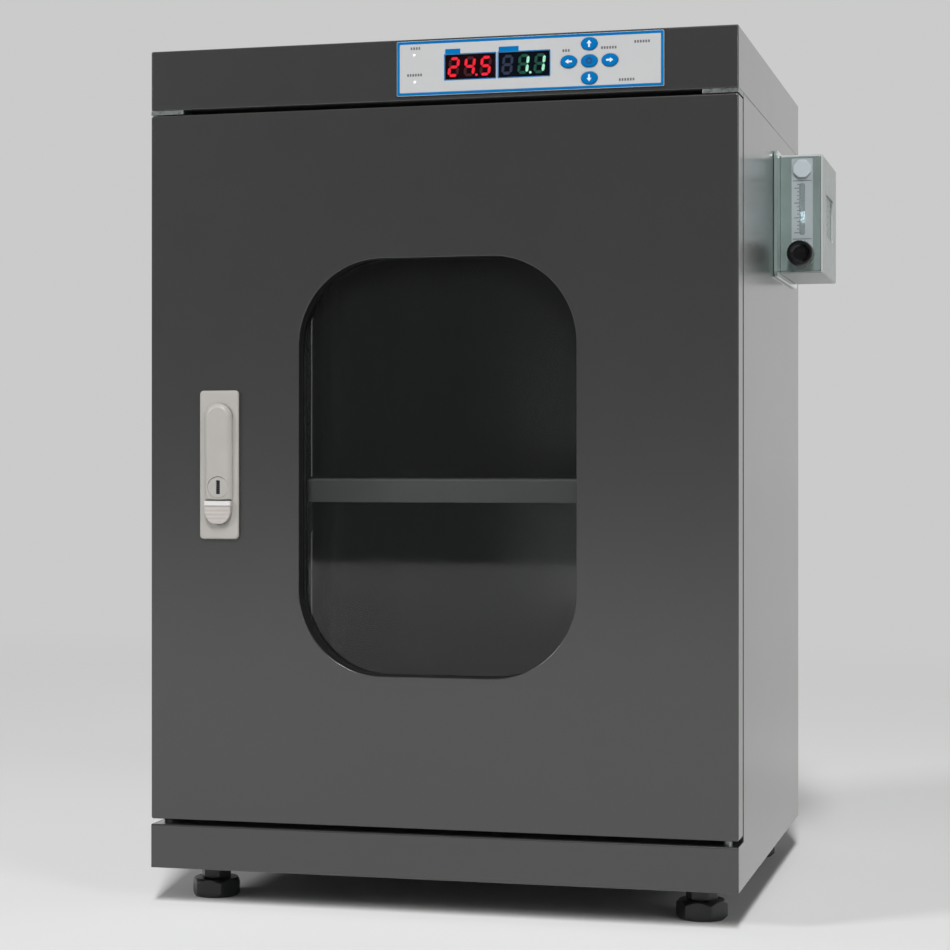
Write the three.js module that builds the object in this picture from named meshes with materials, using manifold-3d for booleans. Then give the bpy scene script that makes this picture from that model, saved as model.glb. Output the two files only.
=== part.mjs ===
// A filament dryer box: a free-standing sheet-steel dry cabinet with a windowed door, a control header,
// a gas flow meter on its right wall, one shelf and four screw feet.
// Millimetres, +Z up. The group's origin is on the floor, under the middle of the whole object.
// Inside the case the parts are placed in the case's frame: x from its middle, y from its mid depth.
import * as THREE from 'three';
import { mergeVertices } from 'three/addons/utils/BufferGeometryUtils.js';
import Module from 'manifold-3d';

const wasm = await Module();
wasm.setup();

// ---------------------------------------------------------------- driving dimensions

const CASE = { width: 448, depth: 384, height: 620 };
const FOOT_HEIGHT = 28;
const SHEET = 1.5;
const GAP = 0.3; // clearance left between any two neighbouring pieces
const OVERCUT = 1; // how far a cutting tool runs past the face it cuts
const OVERLAP = 1; // how far two solids that are joined run into each other
const ROUND = 24; // sides of a close-fitting round

const HALF_WIDTH = CASE.width / 2;
const HALF_DEPTH = CASE.depth / 2;
const BASE_Z = FOOT_HEIGHT;
const TOP_Z = BASE_Z + CASE.height;
const INNER_X = HALF_WIDTH - SHEET; // inside face of a side panel
const FIT_X = INNER_X - GAP; // edge of a panel that fits between the side panels

const HEADER = { height: 45 };
const PLINTH = { height: 33 };
const DOOR = { gap: 4, depth: 22 };
const PLINTH_TOP = BASE_Z + PLINTH.height;
const HEADER_Z = TOP_Z - HEADER.height;
const DOOR_BOTTOM = PLINTH_TOP + DOOR.gap;
const DOOR_TOP = HEADER_Z - DOOR.gap;
const DOOR_MIDDLE = (DOOR_BOTTOM + DOOR_TOP) / 2;
const WALL_TOP = HEADER_Z - GAP; // top edge of the panels under the header

// Depths are measured back from the case's front face.
const back = (depth) => depth - HALF_DEPTH;

const FRAME = { depth: 27, flange: 30, corner: 5 };
const HINGE = { fromSide: 9, depth: 11, upperPin: 4, lowerPin: 3, reach: 14, plate: 26, plateThick: 3.1 };
const LOWER_PLATE = { width: 14, length: 16, fromPivot: 2, depth: 12 };
const BUSH = { wall: 3, play: 0.25 };
const PIVOT = { x: HALF_WIDTH - HINGE.fromSide, y: back(HINGE.depth) };

const WINDOW = { width: 212, height: 310, radius: 64, z: 332, glassDepth: 12, glassThick: 5 };
const WINDOW_SEAL = { lip: 10, bite: 6, rear: 21.4 };
const DOOR_SEAL = { inset: 12, width: 12, radius: 8 };

const LATCH = { x: -168.1, z: 333.9, width: 31, height: 112, radius: 2.5, proud: 3 };
const LATCH_BODY = { width: 25.2, height: 105, wall: 2, depth: 19, trimDepth: 5 };
const LATCH_HOLE = { width: 27, height: 106 };
const SPINDLE = { z: 369.4, radius: 5, front: -0.6, tongue: 1.9, tongueDepth: -4.6, end: 35 };
const SPINDLE_NECK = { wide: 5, tall: 3, long: 5 };
const POCKET = { radius: 11.6, floor: 1.5 };
const LEVER = { width: 21.9, length: 62.1, rear: -3.3, front: -7.8, slotWide: 6.2, slotTall: 7.6 };
const KEY_PLUG = { z: 317, radius: 8.2, slotWide: 3.2, slotTall: 10.5, slotDeep: 2.6 };
const BUTTON = { top: 306.7, radius: 10.4, straight: 7.4, front: -7, rear: 4 };
const HANDLE_BEVEL = 0.8;
const CAM = { tip: 30, width: 16, thick: 3, depth: 30.3, square: 7 };
const CAM_NOTCH = { half: 13, past: 1.6 };

const OVERLAY = { left: -29.2, bottom: 606, width: 199.7, height: 40.3, thick: 0.8, radius: 1 };
const DISPLAY = { width: 37.9, height: 17.9, z: 626.1, temperatureX: 26.7, humidityX: 67.2, depth: 8 };
const KEY = { width: 12.3, height: 9.4, proud: 1.4, depth: 4, bevel: 0.5 };
const KEY_CROSS = { x: 115.8, z: 626.2, reachX: 15.2, reachZ: 12.4 };
const BOARD = { depth: 10, thick: 1.6, margin: 2.5 };
const SWITCH = { size: 6, front: 5.5 };

const SHELF = { top: 323.3, lip: 18, front: 47, rear: 374, halfWidth: 210, sheet: 1.2, rows: 3, columns: 7 };
const VENT = { length: 40, width: 6 };
const STANDARD = { width: 20, deep: 9, front: 72, rear: 342, bottom: 66, top: 598, pitch: 25 };
const STANDARD_SLOT = { width: 4, height: 12, first: 82 };
const CLIP = { reach: 13, width: 14, thick: 2.5, drop: 8, hook: 3 };

const METER = { front: 227, rear: 339, bottom: 488.3, top: 584.1, reach: 37, sheet: 1.5 };
const BLOCK = { depth: 30, proud: 1 };
const METER_PLATE = { front: 204, rear: 349, bottom: 484.6, top: 585.6, thick: 2.7, radius: 6 };
const METER_INNER = HALF_WIDTH + METER_PLATE.thick + 2 * GAP; // the side of the meter that faces the wall
const METER_OUTER = HALF_WIDTH + METER.reach;
const METER_SLOT = { front: 255, rear: 310, bottom: 520, top: 555 };
const METER_BORE = { radius: 4, bottom: 503, top: 551, x: 244.5 };
const METER_PLUG = { radius: 7.6, head: 2, shank: 4, z: 572.5, reach: 6 };
const FLOAT = { radius: 3.4, height: 9, z: 535, waist: 0.6, waistHeight: 2, taper: 2 };
const KNOB = { radius: 10.5, length: 20, z: 503, stem: 3, stemReach: 9, dish: 2, rim: 3, skirt: 6 };

const TUBE = { radius: 3, bore: 2, bend: 14, hole: 4.2, short: 1 };
const TUBE_RUN = { wallDepth: 300, purgeDepth: 284, inner: 205 };
const VALVE = { front: 335, rear: 366, bottom: 607, top: 631, half: 12.5, port: 619, coil: 9.5, headroom: 4 };
const INLET = { radius: 6, hex: 9, reach: 16, collar: 6 };
const SOCKET = { x: -140, z: 625, width: 30, height: 24, proud: 2, lip: 3, wall: 2, depth: 22, floor: 4 };
const SUPPLY = { x: -110, width: 98, front: 70, rear: 200, height: 30 };
const PROBE = { x: -150, depth: 320, radius: 8, length: 46, flange: 13, flangeThick: 4, chamfer: 2 };

const FOOT = { inset: 34, front: 50, rear: 334, pad: 19.5, padHeight: 14, chamfer: 2, nut: 12 };
const STUD = { radius: 4.8, top: 56 };
const NUT_CLEARANCE = 2; // between a foot's nut and the base pan
const PAN = { edge: 16, bossRadius: 9, bossHeight: 10, hole: 5.4 };

const FRONT_REACH = -LEVER.front;
const MIDDLE = { x: -METER.reach / 2, y: (FRONT_REACH - INLET.reach) / 2 };

// ---------------------------------------------------------------- materials

function finish(color, roughness, metalness) {
  return new THREE.MeshStandardMaterial({ color, roughness, metalness });
}

const PAINT = finish(0x4a4c4b, 0.5, 0.1);
const INNER_PAINT = finish(0x3c3e3d, 0.6, 0.1);
const ZINC = finish(0x9aa5a2, 0.35, 0.9);
const CAST_ZINC = finish(0xb4b2ac, 0.4, 0.6);
const BUTTON_FINISH = finish(0xcdc8c4, 0.4, 0.4);
const RUBBER = finish(0x101010, 0.8, 0);
const BLACK_PLASTIC = finish(0x141416, 0.4, 0);
const GLASS = finish(0x303534, 0.05, 0);
const ACRYLIC = finish(0x8a9f9b, 0.15, 0);
const METER_GREY = finish(0xaab0ae, 0.4, 0.2);
const OVERLAY_FACE = finish(0xd0d2d2, 0.45, 0);
const KEY_BLUE = finish(0x0a78be, 0.45, 0);
const LED_RED = finish(0xe01818, 0.3, 0);
const LED_GREEN = finish(0x18c868, 0.3, 0);
const BOARD_GREEN = finish(0x1d5a35, 0.5, 0);
const CLEAR_TUBE = finish(0xd8e2e4, 0.3, 0);

// ---------------------------------------------------------------- solids

const WELD = 1e-4; // vertices closer than this are one vertex

function solidOf(geometry) {
  const bare = geometry.index ? geometry.toNonIndexed() : geometry.clone();
  bare.deleteAttribute('normal');
  bare.deleteAttribute('uv');
  const merged = mergeVertices(bare, WELD);
  const vertProperties = merged.attributes.position.array;
  const triVerts = new Uint32Array(merged.index.array);
  return new wasm.Manifold(new wasm.Mesh({ numProp: 3, vertProperties, triVerts }));
}

function geometryOf(solid) {
  const mesh = solid.getMesh();
  const geometry = new THREE.BufferGeometry();
  geometry.setAttribute('position', new THREE.BufferAttribute(new Float32Array(mesh.vertProperties), 3));
  geometry.setIndex(new THREE.BufferAttribute(new Uint32Array(mesh.triVerts), 1));
  geometry.computeVertexNormals();
  return geometry;
}

function join(...geometries) {
  return geometryOf(geometries.map(solidOf).reduce((sum, next) => sum.add(next)));
}

function cut(base, ...tools) {
  return geometryOf(tools.map(solidOf).reduce((left, tool) => left.subtract(tool), solidOf(base)));
}

// A box between two opposite corners.
function box(low, high) {
  const [x, y, z] = high.map((value, axis) => value - low[axis]);
  return new THREE.BoxGeometry(x, y, z).translate(low[0] + x / 2, low[1] + y / 2, low[2] + z / 2);
}

// ---------------------------------------------------------------- outlines

function rectangle(low, high, radius = 0) {
  const shape = new THREE.Shape();
  const [left, bottom] = low;
  const [right, top] = high;
  if (radius === 0) {
    shape.moveTo(left, bottom).lineTo(right, bottom).lineTo(right, top).lineTo(left, top).closePath();
    return shape;
  }
  const quarter = Math.PI / 2;
  shape.absarc(right - radius, bottom + radius, radius, -quarter, 0);
  shape.absarc(right - radius, top - radius, radius, 0, quarter);
  shape.absarc(left + radius, top - radius, radius, quarter, 2 * quarter);
  shape.absarc(left + radius, bottom + radius, radius, 2 * quarter, 3 * quarter);
  return shape;
}

function centred(x, z, width, height, radius = 0) {
  return rectangle([x - width / 2, z - height / 2], [x + width / 2, z + height / 2], radius);
}

function circle(x, y, radius) {
  return new THREE.Shape().absarc(x, y, radius, 0, 2 * Math.PI);
}

function ellipse(x, y, width, height) {
  return new THREE.Shape().absellipse(x, y, width / 2, height / 2, 0, 2 * Math.PI);
}

function regularPolygon(sides, radius, x = 0, y = 0, turn = 0) {
  const corner = (index) => {
    const angle = turn + (2 * Math.PI * index) / sides;
    return new THREE.Vector2(x + radius * Math.cos(angle), y + radius * Math.sin(angle));
  };
  return new THREE.Shape(Array.from({ length: sides }, (_, index) => corner(index)));
}

// ---------------------------------------------------------------- plates and turned pieces

function extruded(shape, thickness, smooth, bevel) {
  return new THREE.ExtrudeGeometry(shape, {
    depth: thickness - 2 * bevel,
    curveSegments: smooth,
    bevelEnabled: bevel > 0,
    bevelThickness: bevel,
    bevelSize: bevel,
    bevelOffset: -bevel,
    bevelSegments: 1,
  }).translate(0, 0, bevel);
}

// A plate drawn in x and z as seen from the front, whose front face is at a depth.
function frontPlate(shape, depth, thickness, { smooth = 4, bevel = 0 } = {}) {
  const upright = extruded(shape, thickness, smooth, bevel).rotateX(Math.PI / 2);
  return upright.translate(0, back(depth + thickness), 0);
}

// A plate drawn in depth and z, from x to x + thickness.
function sidePlate(shape, x, thickness, { smooth = 4, bevel = 0 } = {}) {
  const upright = extruded(shape, thickness, smooth, bevel).rotateX(Math.PI / 2);
  return upright.rotateZ(Math.PI / 2).translate(x, back(0), 0);
}

// A plate drawn in x and depth, from z up to z + thickness.
function flatPlate(shape, z, thickness, { smooth = 4, bevel = 0 } = {}) {
  return extruded(shape, thickness, smooth, bevel).translate(0, back(0), z);
}

// A solid of revolution about +Z, from a profile of [radius, height] pairs that starts and ends on the axis.
function turned(profile, segments = 16) {
  const points = profile.map(([radius, height]) => new THREE.Vector2(radius, height));
  return new THREE.LatheGeometry(points, segments).rotateX(Math.PI / 2);
}

const TO_THE_REAR = -Math.PI / 2; // turns +Z to +Y

function rod(radius, low, high, segments = 16) {
  return turned([[0, low], [radius, low], [radius, high], [0, high]], segments);
}

// A rod along the depth, between two depths.
function deepRod(x, z, radius, from, to, segments = 16) {
  return rod(radius, from, to, segments).rotateX(TO_THE_REAR).translate(x, back(0), z);
}

function uprightRod(x, y, radius, low, high, segments = 16) {
  return rod(radius, low, high, segments).translate(x, y, 0);
}

// A hollow tube along straight runs with rounded bends at the inner points.
function tubeAlong(points, { radius, bore, bend }, steps) {
  const path = new THREE.CurvePath();
  const stops = points.map((point) => new THREE.Vector3(...point));
  let from = stops[0];
  for (let i = 1; i < stops.length - 1; i += 1) {
    const before = stops[i].clone().add(stops[i - 1].clone().sub(stops[i]).setLength(bend));
    const after = stops[i].clone().add(stops[i + 1].clone().sub(stops[i]).setLength(bend));
    path.add(new THREE.LineCurve3(from, before));
    path.add(new THREE.QuadraticBezierCurve3(before, stops[i], after));
    from = after;
  }
  path.add(new THREE.LineCurve3(from, stops[stops.length - 1]));
  const section = circle(0, 0, radius);
  section.holes.push(circle(0, 0, bore));
  return new THREE.ExtrudeGeometry(section, { extrudePath: path, steps, curveSegments: 4 });
}

// ---------------------------------------------------------------- case

function sidePanel(side) {
  const outline = new THREE.Shape();
  outline.moveTo(SHEET + GAP, BASE_Z).lineTo(CASE.depth, BASE_Z).lineTo(CASE.depth, WALL_TOP);
  outline.lineTo(FRAME.depth, WALL_TOP).lineTo(FRAME.depth, PLINTH_TOP).lineTo(SHEET + GAP, PLINTH_TOP);
  outline.closePath();
  if (side > 0) {
    outline.holes.push(circle(TUBE_RUN.wallDepth, METER_BORE.bottom, TUBE.hole));
    outline.holes.push(circle(TUBE_RUN.purgeDepth, METER_BORE.top, TUBE.hole));
  }
  return sidePlate(outline, side > 0 ? INNER_X : -HALF_WIDTH, SHEET);
}

function rearPanel() {
  return frontPlate(rectangle([-FIT_X, BASE_Z + SHEET + GAP], [FIT_X, WALL_TOP]), CASE.depth - SHEET, SHEET);
}

function footPlaces() {
  const x = HALF_WIDTH - FOOT.inset;
  return { fl: [-x, FOOT.front], fr: [x, FOOT.front], rl: [-x, FOOT.rear], rr: [x, FOOT.rear] };
}

// The pan that the feet screw into, with a welded boss at each foot and an upturned edge at each side.
function basePan() {
  const low = back(SHEET + GAP);
  const high = back(CASE.depth - SHEET - GAP);
  const floor = box([-FIT_X, low, BASE_Z], [FIT_X, high, BASE_Z + SHEET]);
  const edges = [-1, 1].map((side) => {
    const outer = side * FIT_X;
    const inner = side * (FIT_X - SHEET);
    return box([Math.min(outer, inner), low, BASE_Z], [Math.max(outer, inner), high, BASE_Z + PAN.edge]);
  });
  const places = Object.values(footPlaces());
  const bossTop = BASE_Z + PAN.bossHeight;
  const boss = ([x, depth]) => uprightRod(x, back(depth), PAN.bossRadius, BASE_Z, bossTop);
  const hole = ([x, depth]) => uprightRod(x, back(depth), PAN.hole, BASE_Z - OVERCUT, bossTop + OVERCUT);
  return cut(join(floor, ...edges, ...places.map(boss)), ...places.map(hole));
}

function chamberFloor() {
  const rear = CASE.depth - SHEET - GAP;
  return flatPlate(rectangle([-FIT_X, FRAME.depth + SHEET + GAP], [FIT_X, rear]), PLINTH_TOP - SHEET, SHEET);
}

// The kick strip under the door, with a ledge that runs back to the frame and carries the lower hinge.
function plinthFront() {
  const face = box([-HALF_WIDTH, back(0), BASE_Z], [HALF_WIDTH, back(SHEET), PLINTH_TOP]);
  const ledgeRear = back(FRAME.depth + SHEET);
  const ledge = box([-FIT_X, back(0), PLINTH_TOP - SHEET], [FIT_X, ledgeRear, PLINTH_TOP]);
  const pinRadius = HINGE.lowerPin + GAP;
  const pinHole = uprightRod(PIVOT.x, PIVOT.y, pinRadius, PLINTH_TOP - 2 * SHEET, PLINTH_TOP + SHEET);
  return cut(join(face, ledge), pinHole);
}

// The flange ring that the door's seal presses on, notched where the latch cam passes.
function frontFrame() {
  const low = PLINTH_TOP + GAP;
  const inner = FIT_X - FRAME.flange;
  const outline = rectangle([-FIT_X, low], [FIT_X, WALL_TOP]);
  outline.holes.push(rectangle([-inner, low + FRAME.flange], [inner, WALL_TOP - FRAME.flange], FRAME.corner));
  const camTip = LATCH.x - CAM.tip - CAM_NOTCH.past;
  const notch = box(
    [camTip, back(FRAME.depth - OVERCUT), SPINDLE.z - CAM_NOTCH.half],
    [-inner + OVERCUT, back(FRAME.depth + SHEET + OVERCUT), SPINDLE.z + CAM_NOTCH.half],
  );
  return cut(frontPlate(outline, FRAME.depth, SHEET, { smooth: 2 }), notch);
}

function keyPlaces() {
  const { x, z, reachX, reachZ } = KEY_CROSS;
  return {
    up: [x, z + reachZ],
    down: [x, z - reachZ],
    left: [x - reachX, z],
    right: [x + reachX, z],
    center: [x, z],
  };
}

// The two display windows and the five key holes, as outlines grown by a clearance.
function panelOpenings(clearance) {
  const displays = [DISPLAY.temperatureX, DISPLAY.humidityX].map((x) => (
    centred(x, DISPLAY.z, DISPLAY.width + 2 * clearance, DISPLAY.height + 2 * clearance)
  ));
  const keys = Object.values(keyPlaces()).map(([x, z]) => (
    ellipse(x, z, KEY.width + 2 * clearance, KEY.height + 2 * clearance)
  ));
  return [...displays, ...keys];
}

// The control housing's folded cover, open below.
function headerShell() {
  const outer = box([-HALF_WIDTH, back(0), HEADER_Z], [HALF_WIDTH, back(CASE.depth), TOP_Z]);
  const hollow = box(
    [-INNER_X, back(SHEET), HEADER_Z - OVERCUT],
    [INNER_X, back(CASE.depth - SHEET), TOP_Z - SHEET],
  );
  const through = SHEET + 2 * OVERCUT;
  const openings = panelOpenings(GAP).map((shape) => frontPlate(shape, -OVERCUT, through, { smooth: 8 }));
  const rearStart = CASE.depth - SHEET - OVERCUT;
  const gasHole = deepRod(TUBE_RUN.inner, VALVE.port, INLET.radius + GAP, rearStart, CASE.depth + OVERCUT);
  const { x, z, width, height, wall } = SOCKET;
  const socketHole = frontPlate(centred(x, z, width - 2 * wall, height - 2 * wall), rearStart, through);
  return cut(outer, hollow, ...openings, gasHole, socketHole);
}

function headerFloor() {
  const rear = CASE.depth - SHEET - GAP;
  const outline = rectangle([-FIT_X, SHEET + GAP], [FIT_X, rear]);
  outline.holes.push(circle(TUBE_RUN.inner, TUBE_RUN.wallDepth, TUBE.hole));
  outline.holes.push(circle(PROBE.x, PROBE.depth, PROBE.radius + GAP));
  return flatPlate(outline, HEADER_Z, SHEET, { smooth: 12 });
}

// ---------------------------------------------------------------- hinges

// A zinc plate in a corner of the slot between the header and the door.
// Here and below, side is -1 at the left and 1 at the right.
function cornerPlate(side) {
  const outer = side * HALF_WIDTH;
  const inner = side * (HALF_WIDTH - HINGE.plate);
  const outline = rectangle([Math.min(outer, inner), GAP], [Math.max(outer, inner), HINGE.plate]);
  return flatPlate(outline, WALL_TOP - HINGE.plateThick, HINGE.plateThick);
}

function upperHinge() {
  const plateBottom = WALL_TOP - HINGE.plateThick;
  const pin = uprightRod(PIVOT.x, PIVOT.y, HINGE.upperPin, DOOR_TOP - HINGE.reach, plateBottom + OVERLAP);
  return join(cornerPlate(1), pin);
}

function lowerHinge() {
  const top = PLINTH_TOP - SHEET - GAP;
  const { width, length, fromPivot, depth } = LOWER_PLATE;
  const shape = centred(PIVOT.x - fromPivot, depth, width, length);
  const plate = flatPlate(shape, top - HINGE.plateThick, HINGE.plateThick);
  const pin = uprightRod(PIVOT.x, PIVOT.y, HINGE.lowerPin, top - OVERLAP, DOOR_BOTTOM + HINGE.reach);
  return join(plate, pin);
}

// A nylon bush inside the door, around a hinge pin.
function hingeBush(low, high, pinRadius) {
  const sleeve = uprightRod(PIVOT.x, PIVOT.y, pinRadius + BUSH.wall, low, high, ROUND);
  const bore = uprightRod(PIVOT.x, PIVOT.y, pinRadius + BUSH.play, low - OVERCUT, high + OVERCUT, ROUND);
  return cut(sleeve, bore);
}

// ---------------------------------------------------------------- door

function windowOutline(grow) {
  const { width, height, radius, z } = WINDOW;
  return centred(0, z, width + 2 * grow, height + 2 * grow, radius + grow);
}

function doorPanel() {
  const outer = box([-HALF_WIDTH, back(0), DOOR_BOTTOM], [HALF_WIDTH, back(DOOR.depth), DOOR_TOP]);
  const hollow = box(
    [-INNER_X, back(SHEET), DOOR_BOTTOM + SHEET],
    [INNER_X, back(DOOR.depth + OVERCUT), DOOR_TOP - SHEET],
  );
  const through = SHEET + 2 * OVERCUT;
  const window = frontPlate(windowOutline(0), -OVERCUT, through, { smooth: 8 });
  const latchShape = centred(LATCH.x, LATCH.z, LATCH_HOLE.width, LATCH_HOLE.height);
  const latchHole = frontPlate(latchShape, -OVERCUT, through);
  const pinHole = (pinRadius, low, high) => uprightRod(PIVOT.x, PIVOT.y, pinRadius + GAP, low, high, ROUND);
  const upperHole = pinHole(HINGE.upperPin, DOOR_TOP - 2 * SHEET, DOOR_TOP + OVERCUT);
  const lowerHole = pinHole(HINGE.lowerPin, DOOR_BOTTOM - OVERCUT, DOOR_BOTTOM + 2 * SHEET);
  return cut(outer, hollow, window, latchHole, upperHole, lowerHole);
}

function doorLiner() {
  const low = DOOR_BOTTOM + SHEET + GAP;
  const outline = rectangle([-FIT_X, low], [FIT_X, DOOR_TOP - SHEET - GAP]);
  outline.holes.push(windowOutline(WINDOW_SEAL.lip + GAP));
  outline.holes.push(circle(LATCH.x, SPINDLE.z, SPINDLE.radius + 2));
  return frontPlate(outline, DOOR.depth - SHEET, SHEET, { smooth: 8 });
}

// The rubber frame of the window: it lines the opening and grips the glass in a groove.
function windowGasket() {
  const front = SHEET + GAP;
  const outline = windowOutline(WINDOW_SEAL.lip);
  outline.holes.push(windowOutline(0));
  const ring = frontPlate(outline, front, WINDOW_SEAL.rear - front, { smooth: 8 });
  const grooveOutline = windowOutline(WINDOW_SEAL.bite + GAP);
  const grooveWidth = WINDOW.glassThick + 2 * GAP;
  const groove = frontPlate(grooveOutline, WINDOW.glassDepth - GAP, grooveWidth, { smooth: 8 });
  return cut(ring, groove);
}

function windowGlass() {
  return frontPlate(windowOutline(WINDOW_SEAL.bite), WINDOW.glassDepth, WINDOW.glassThick, { smooth: 8 });
}

function doorGasket() {
  const { inset, width, radius } = DOOR_SEAL;
  const height = DOOR_TOP - DOOR_BOTTOM;
  const outline = centred(0, DOOR_MIDDLE, CASE.width - 2 * inset, height - 2 * inset, radius + width / 2);
  const innerInset = inset + width;
  outline.holes.push(centred(0, DOOR_MIDDLE, CASE.width - 2 * innerInset, height - 2 * innerInset, radius));
  const front = DOOR.depth + GAP;
  return frontPlate(outline, front, FRAME.depth - GAP - front, { smooth: 3 });
}

// ---------------------------------------------------------------- latch

function buttonOutline(grow) {
  const { top, radius, straight } = BUTTON;
  const shape = new THREE.Shape();
  shape.moveTo(LATCH.x + radius + grow, top + grow);
  shape.lineTo(LATCH.x - radius - grow, top + grow);
  shape.absarc(LATCH.x, top - straight, radius + grow, Math.PI, 2 * Math.PI);
  shape.closePath();
  return shape;
}

// A bevelled plate on the door's front, with a hollow body behind it that passes through the door's skin.
function latchHousing() {
  const { x, z, width, height, radius, proud } = LATCH;
  const { wall, depth, trimDepth } = LATCH_BODY;
  const plateDepth = proud + trimDepth;
  const face = centred(x, z, width, height, radius);
  const bevelled = frontPlate(face, -proud, plateDepth, { smooth: 2, bevel: 1 });
  const behindDoor = box([x - width, back(-GAP), z - height], [x + width, back(plateDepth), z + height]);
  const half = [LATCH_BODY.width / 2, LATCH_BODY.height / 2];
  const body = frontPlate(centred(x, z, 2 * half[0], 2 * half[1]), -OVERLAP, depth + OVERLAP);
  const hollow = box(
    [x - half[0] + wall, back(0), z - half[1] + wall],
    [x + half[0] - wall, back(depth + OVERCUT), BUTTON.top + wall],
  );
  const pocket = deepRod(x, SPINDLE.z, POCKET.radius, -proud - OVERCUT, POCKET.floor, ROUND);
  const bore = deepRod(x, SPINDLE.z, SPINDLE.radius + GAP, 0, depth + OVERCUT, ROUND);
  const buttonHole = frontPlate(buttonOutline(GAP), -proud - OVERCUT, proud + 2 * OVERCUT, { smooth: 6 });
  return cut(join(cut(bevelled, behindDoor), body), hollow, pocket, bore, buttonHole);
}

// The spindle: a round shaft with a tongue in front, which the lever tilts on, and a square end for the cam.
function latchSpindle() {
  const { z, radius, front, tongue, tongueDepth, end } = SPINDLE;
  const { wide, tall, long } = SPINDLE_NECK;
  const shaft = deepRod(LATCH.x, z, radius, front, CAM.depth - GAP, ROUND);
  const squareShape = centred(LATCH.x, z, CAM.square, CAM.square);
  const square = frontPlate(squareShape, CAM.depth - OVERLAP, end - CAM.depth);
  const neck = frontPlate(centred(LATCH.x, z, wide, tall), tongueDepth, long);
  const bar = rod(tongue, -wide / 2, wide / 2).rotateY(Math.PI / 2).translate(LATCH.x, back(tongueDepth), z);
  return join(shaft, square, neck, bar);
}

function latchCam() {
  const half = CAM.width / 2;
  const outline = new THREE.Shape();
  outline.moveTo(LATCH.x - CAM.tip, SPINDLE.z - half);
  outline.absarc(LATCH.x, SPINDLE.z, half, -Math.PI / 2, Math.PI / 2);
  outline.lineTo(LATCH.x - CAM.tip, SPINDLE.z + half);
  outline.closePath();
  outline.holes.push(centred(LATCH.x, SPINDLE.z, CAM.square + 2 * GAP, CAM.square + 2 * GAP));
  return frontPlate(outline, CAM.depth, CAM.thick);
}

// The lever: round at the top about the spindle, and its lower end is an arc about the spindle too.
function latchLever() {
  const { width, length, rear, front, slotWide, slotTall } = LEVER;
  const half = width / 2;
  const spread = Math.asin(half / length);
  const outline = new THREE.Shape();
  outline.absarc(LATCH.x, SPINDLE.z, half, 0, Math.PI);
  outline.absarc(LATCH.x, SPINDLE.z, length, 1.5 * Math.PI - spread, 1.5 * Math.PI + spread);
  outline.closePath();
  const plate = frontPlate(outline, front, rear - front, { smooth: 6, bevel: HANDLE_BEVEL });
  const slotFront = SPINDLE.tongueDepth - SPINDLE.tongue - GAP;
  const slotShape = centred(LATCH.x, SPINDLE.z, slotWide, slotTall);
  const slot = frontPlate(slotShape, slotFront, rear + OVERCUT - slotFront);
  const plugRadius = KEY_PLUG.radius + GAP;
  const plugHole = deepRod(LATCH.x, KEY_PLUG.z, plugRadius, front - OVERCUT, rear + OVERCUT, ROUND);
  return cut(plate, slot, plugHole);
}

function latchKeyPlug() {
  const { z, radius, slotWide, slotTall, slotDeep } = KEY_PLUG;
  const front = LEVER.front + GAP;
  const plug = deepRod(LATCH.x, z, radius, front, LEVER.rear - GAP, ROUND);
  const slot = frontPlate(centred(LATCH.x, z, slotWide, slotTall), front - OVERCUT, slotDeep + OVERCUT);
  return cut(plug, slot);
}

function latchButton() {
  const { front, rear } = BUTTON;
  return frontPlate(buttonOutline(0), front, rear - front, { smooth: 6, bevel: HANDLE_BEVEL });
}

// ---------------------------------------------------------------- control header

function controlOverlay() {
  const { left, bottom, width, height, radius, thick } = OVERLAY;
  const outline = rectangle([left, bottom], [left + width, bottom + height], radius);
  const sheet = frontPlate(outline, -thick - GAP, thick, { smooth: 2 });
  const through = thick + 2 * OVERCUT;
  const hole = (shape) => frontPlate(shape, -thick - OVERCUT, through, { smooth: 8 });
  return cut(sheet, ...panelOpenings(GAP).map(hole));
}

function displayModule(x) {
  const front = -OVERLAY.thick;
  return frontPlate(centred(x, DISPLAY.z, DISPLAY.width, DISPLAY.height), front, DISPLAY.depth - front);
}

function membraneKey([x, z]) {
  const { width, height, proud, depth, bevel } = KEY;
  const front = -OVERLAY.thick - proud;
  return frontPlate(ellipse(x, z, width, height), front, depth - front, { smooth: 8, bevel });
}

// The board behind the displays, with a push switch behind each key.
function controlBoard() {
  const { left, bottom, width, height } = OVERLAY;
  const { depth, thick, margin } = BOARD;
  const right = left + width;
  const top = bottom + height;
  const outline = rectangle([left + margin, bottom + margin], [right - margin, top - margin]);
  const switchDepth = depth + OVERLAP - SWITCH.front;
  const switches = Object.values(keyPlaces()).map(([x, z]) => (
    frontPlate(centred(x, z, SWITCH.size, SWITCH.size), SWITCH.front, switchDepth)
  ));
  return join(frontPlate(outline, depth, thick), ...switches);
}

function powerSupply() {
  const { x, width, front, rear, height } = SUPPLY;
  const bottom = HEADER_Z + SHEET + GAP;
  return box([x - width / 2, back(front), bottom], [x + width / 2, back(rear), bottom + height]);
}

// The mains socket in the header's rear wall: a flange outside and a recessed body inside.
function powerInlet() {
  const { x, z, width, height, proud, lip, wall, depth, floor } = SOCKET;
  const inset = (by, radius) => centred(x, z, width - 2 * by, height - 2 * by, radius);
  const flange = frontPlate(inset(0, 2), CASE.depth + GAP, proud - GAP, { smooth: 2 });
  const body = frontPlate(inset(lip, 1), CASE.depth - depth, depth + OVERLAP, { smooth: 2 });
  const recess = frontPlate(inset(lip + wall), CASE.depth - depth + floor, depth);
  return cut(join(flange, body), recess);
}

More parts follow.
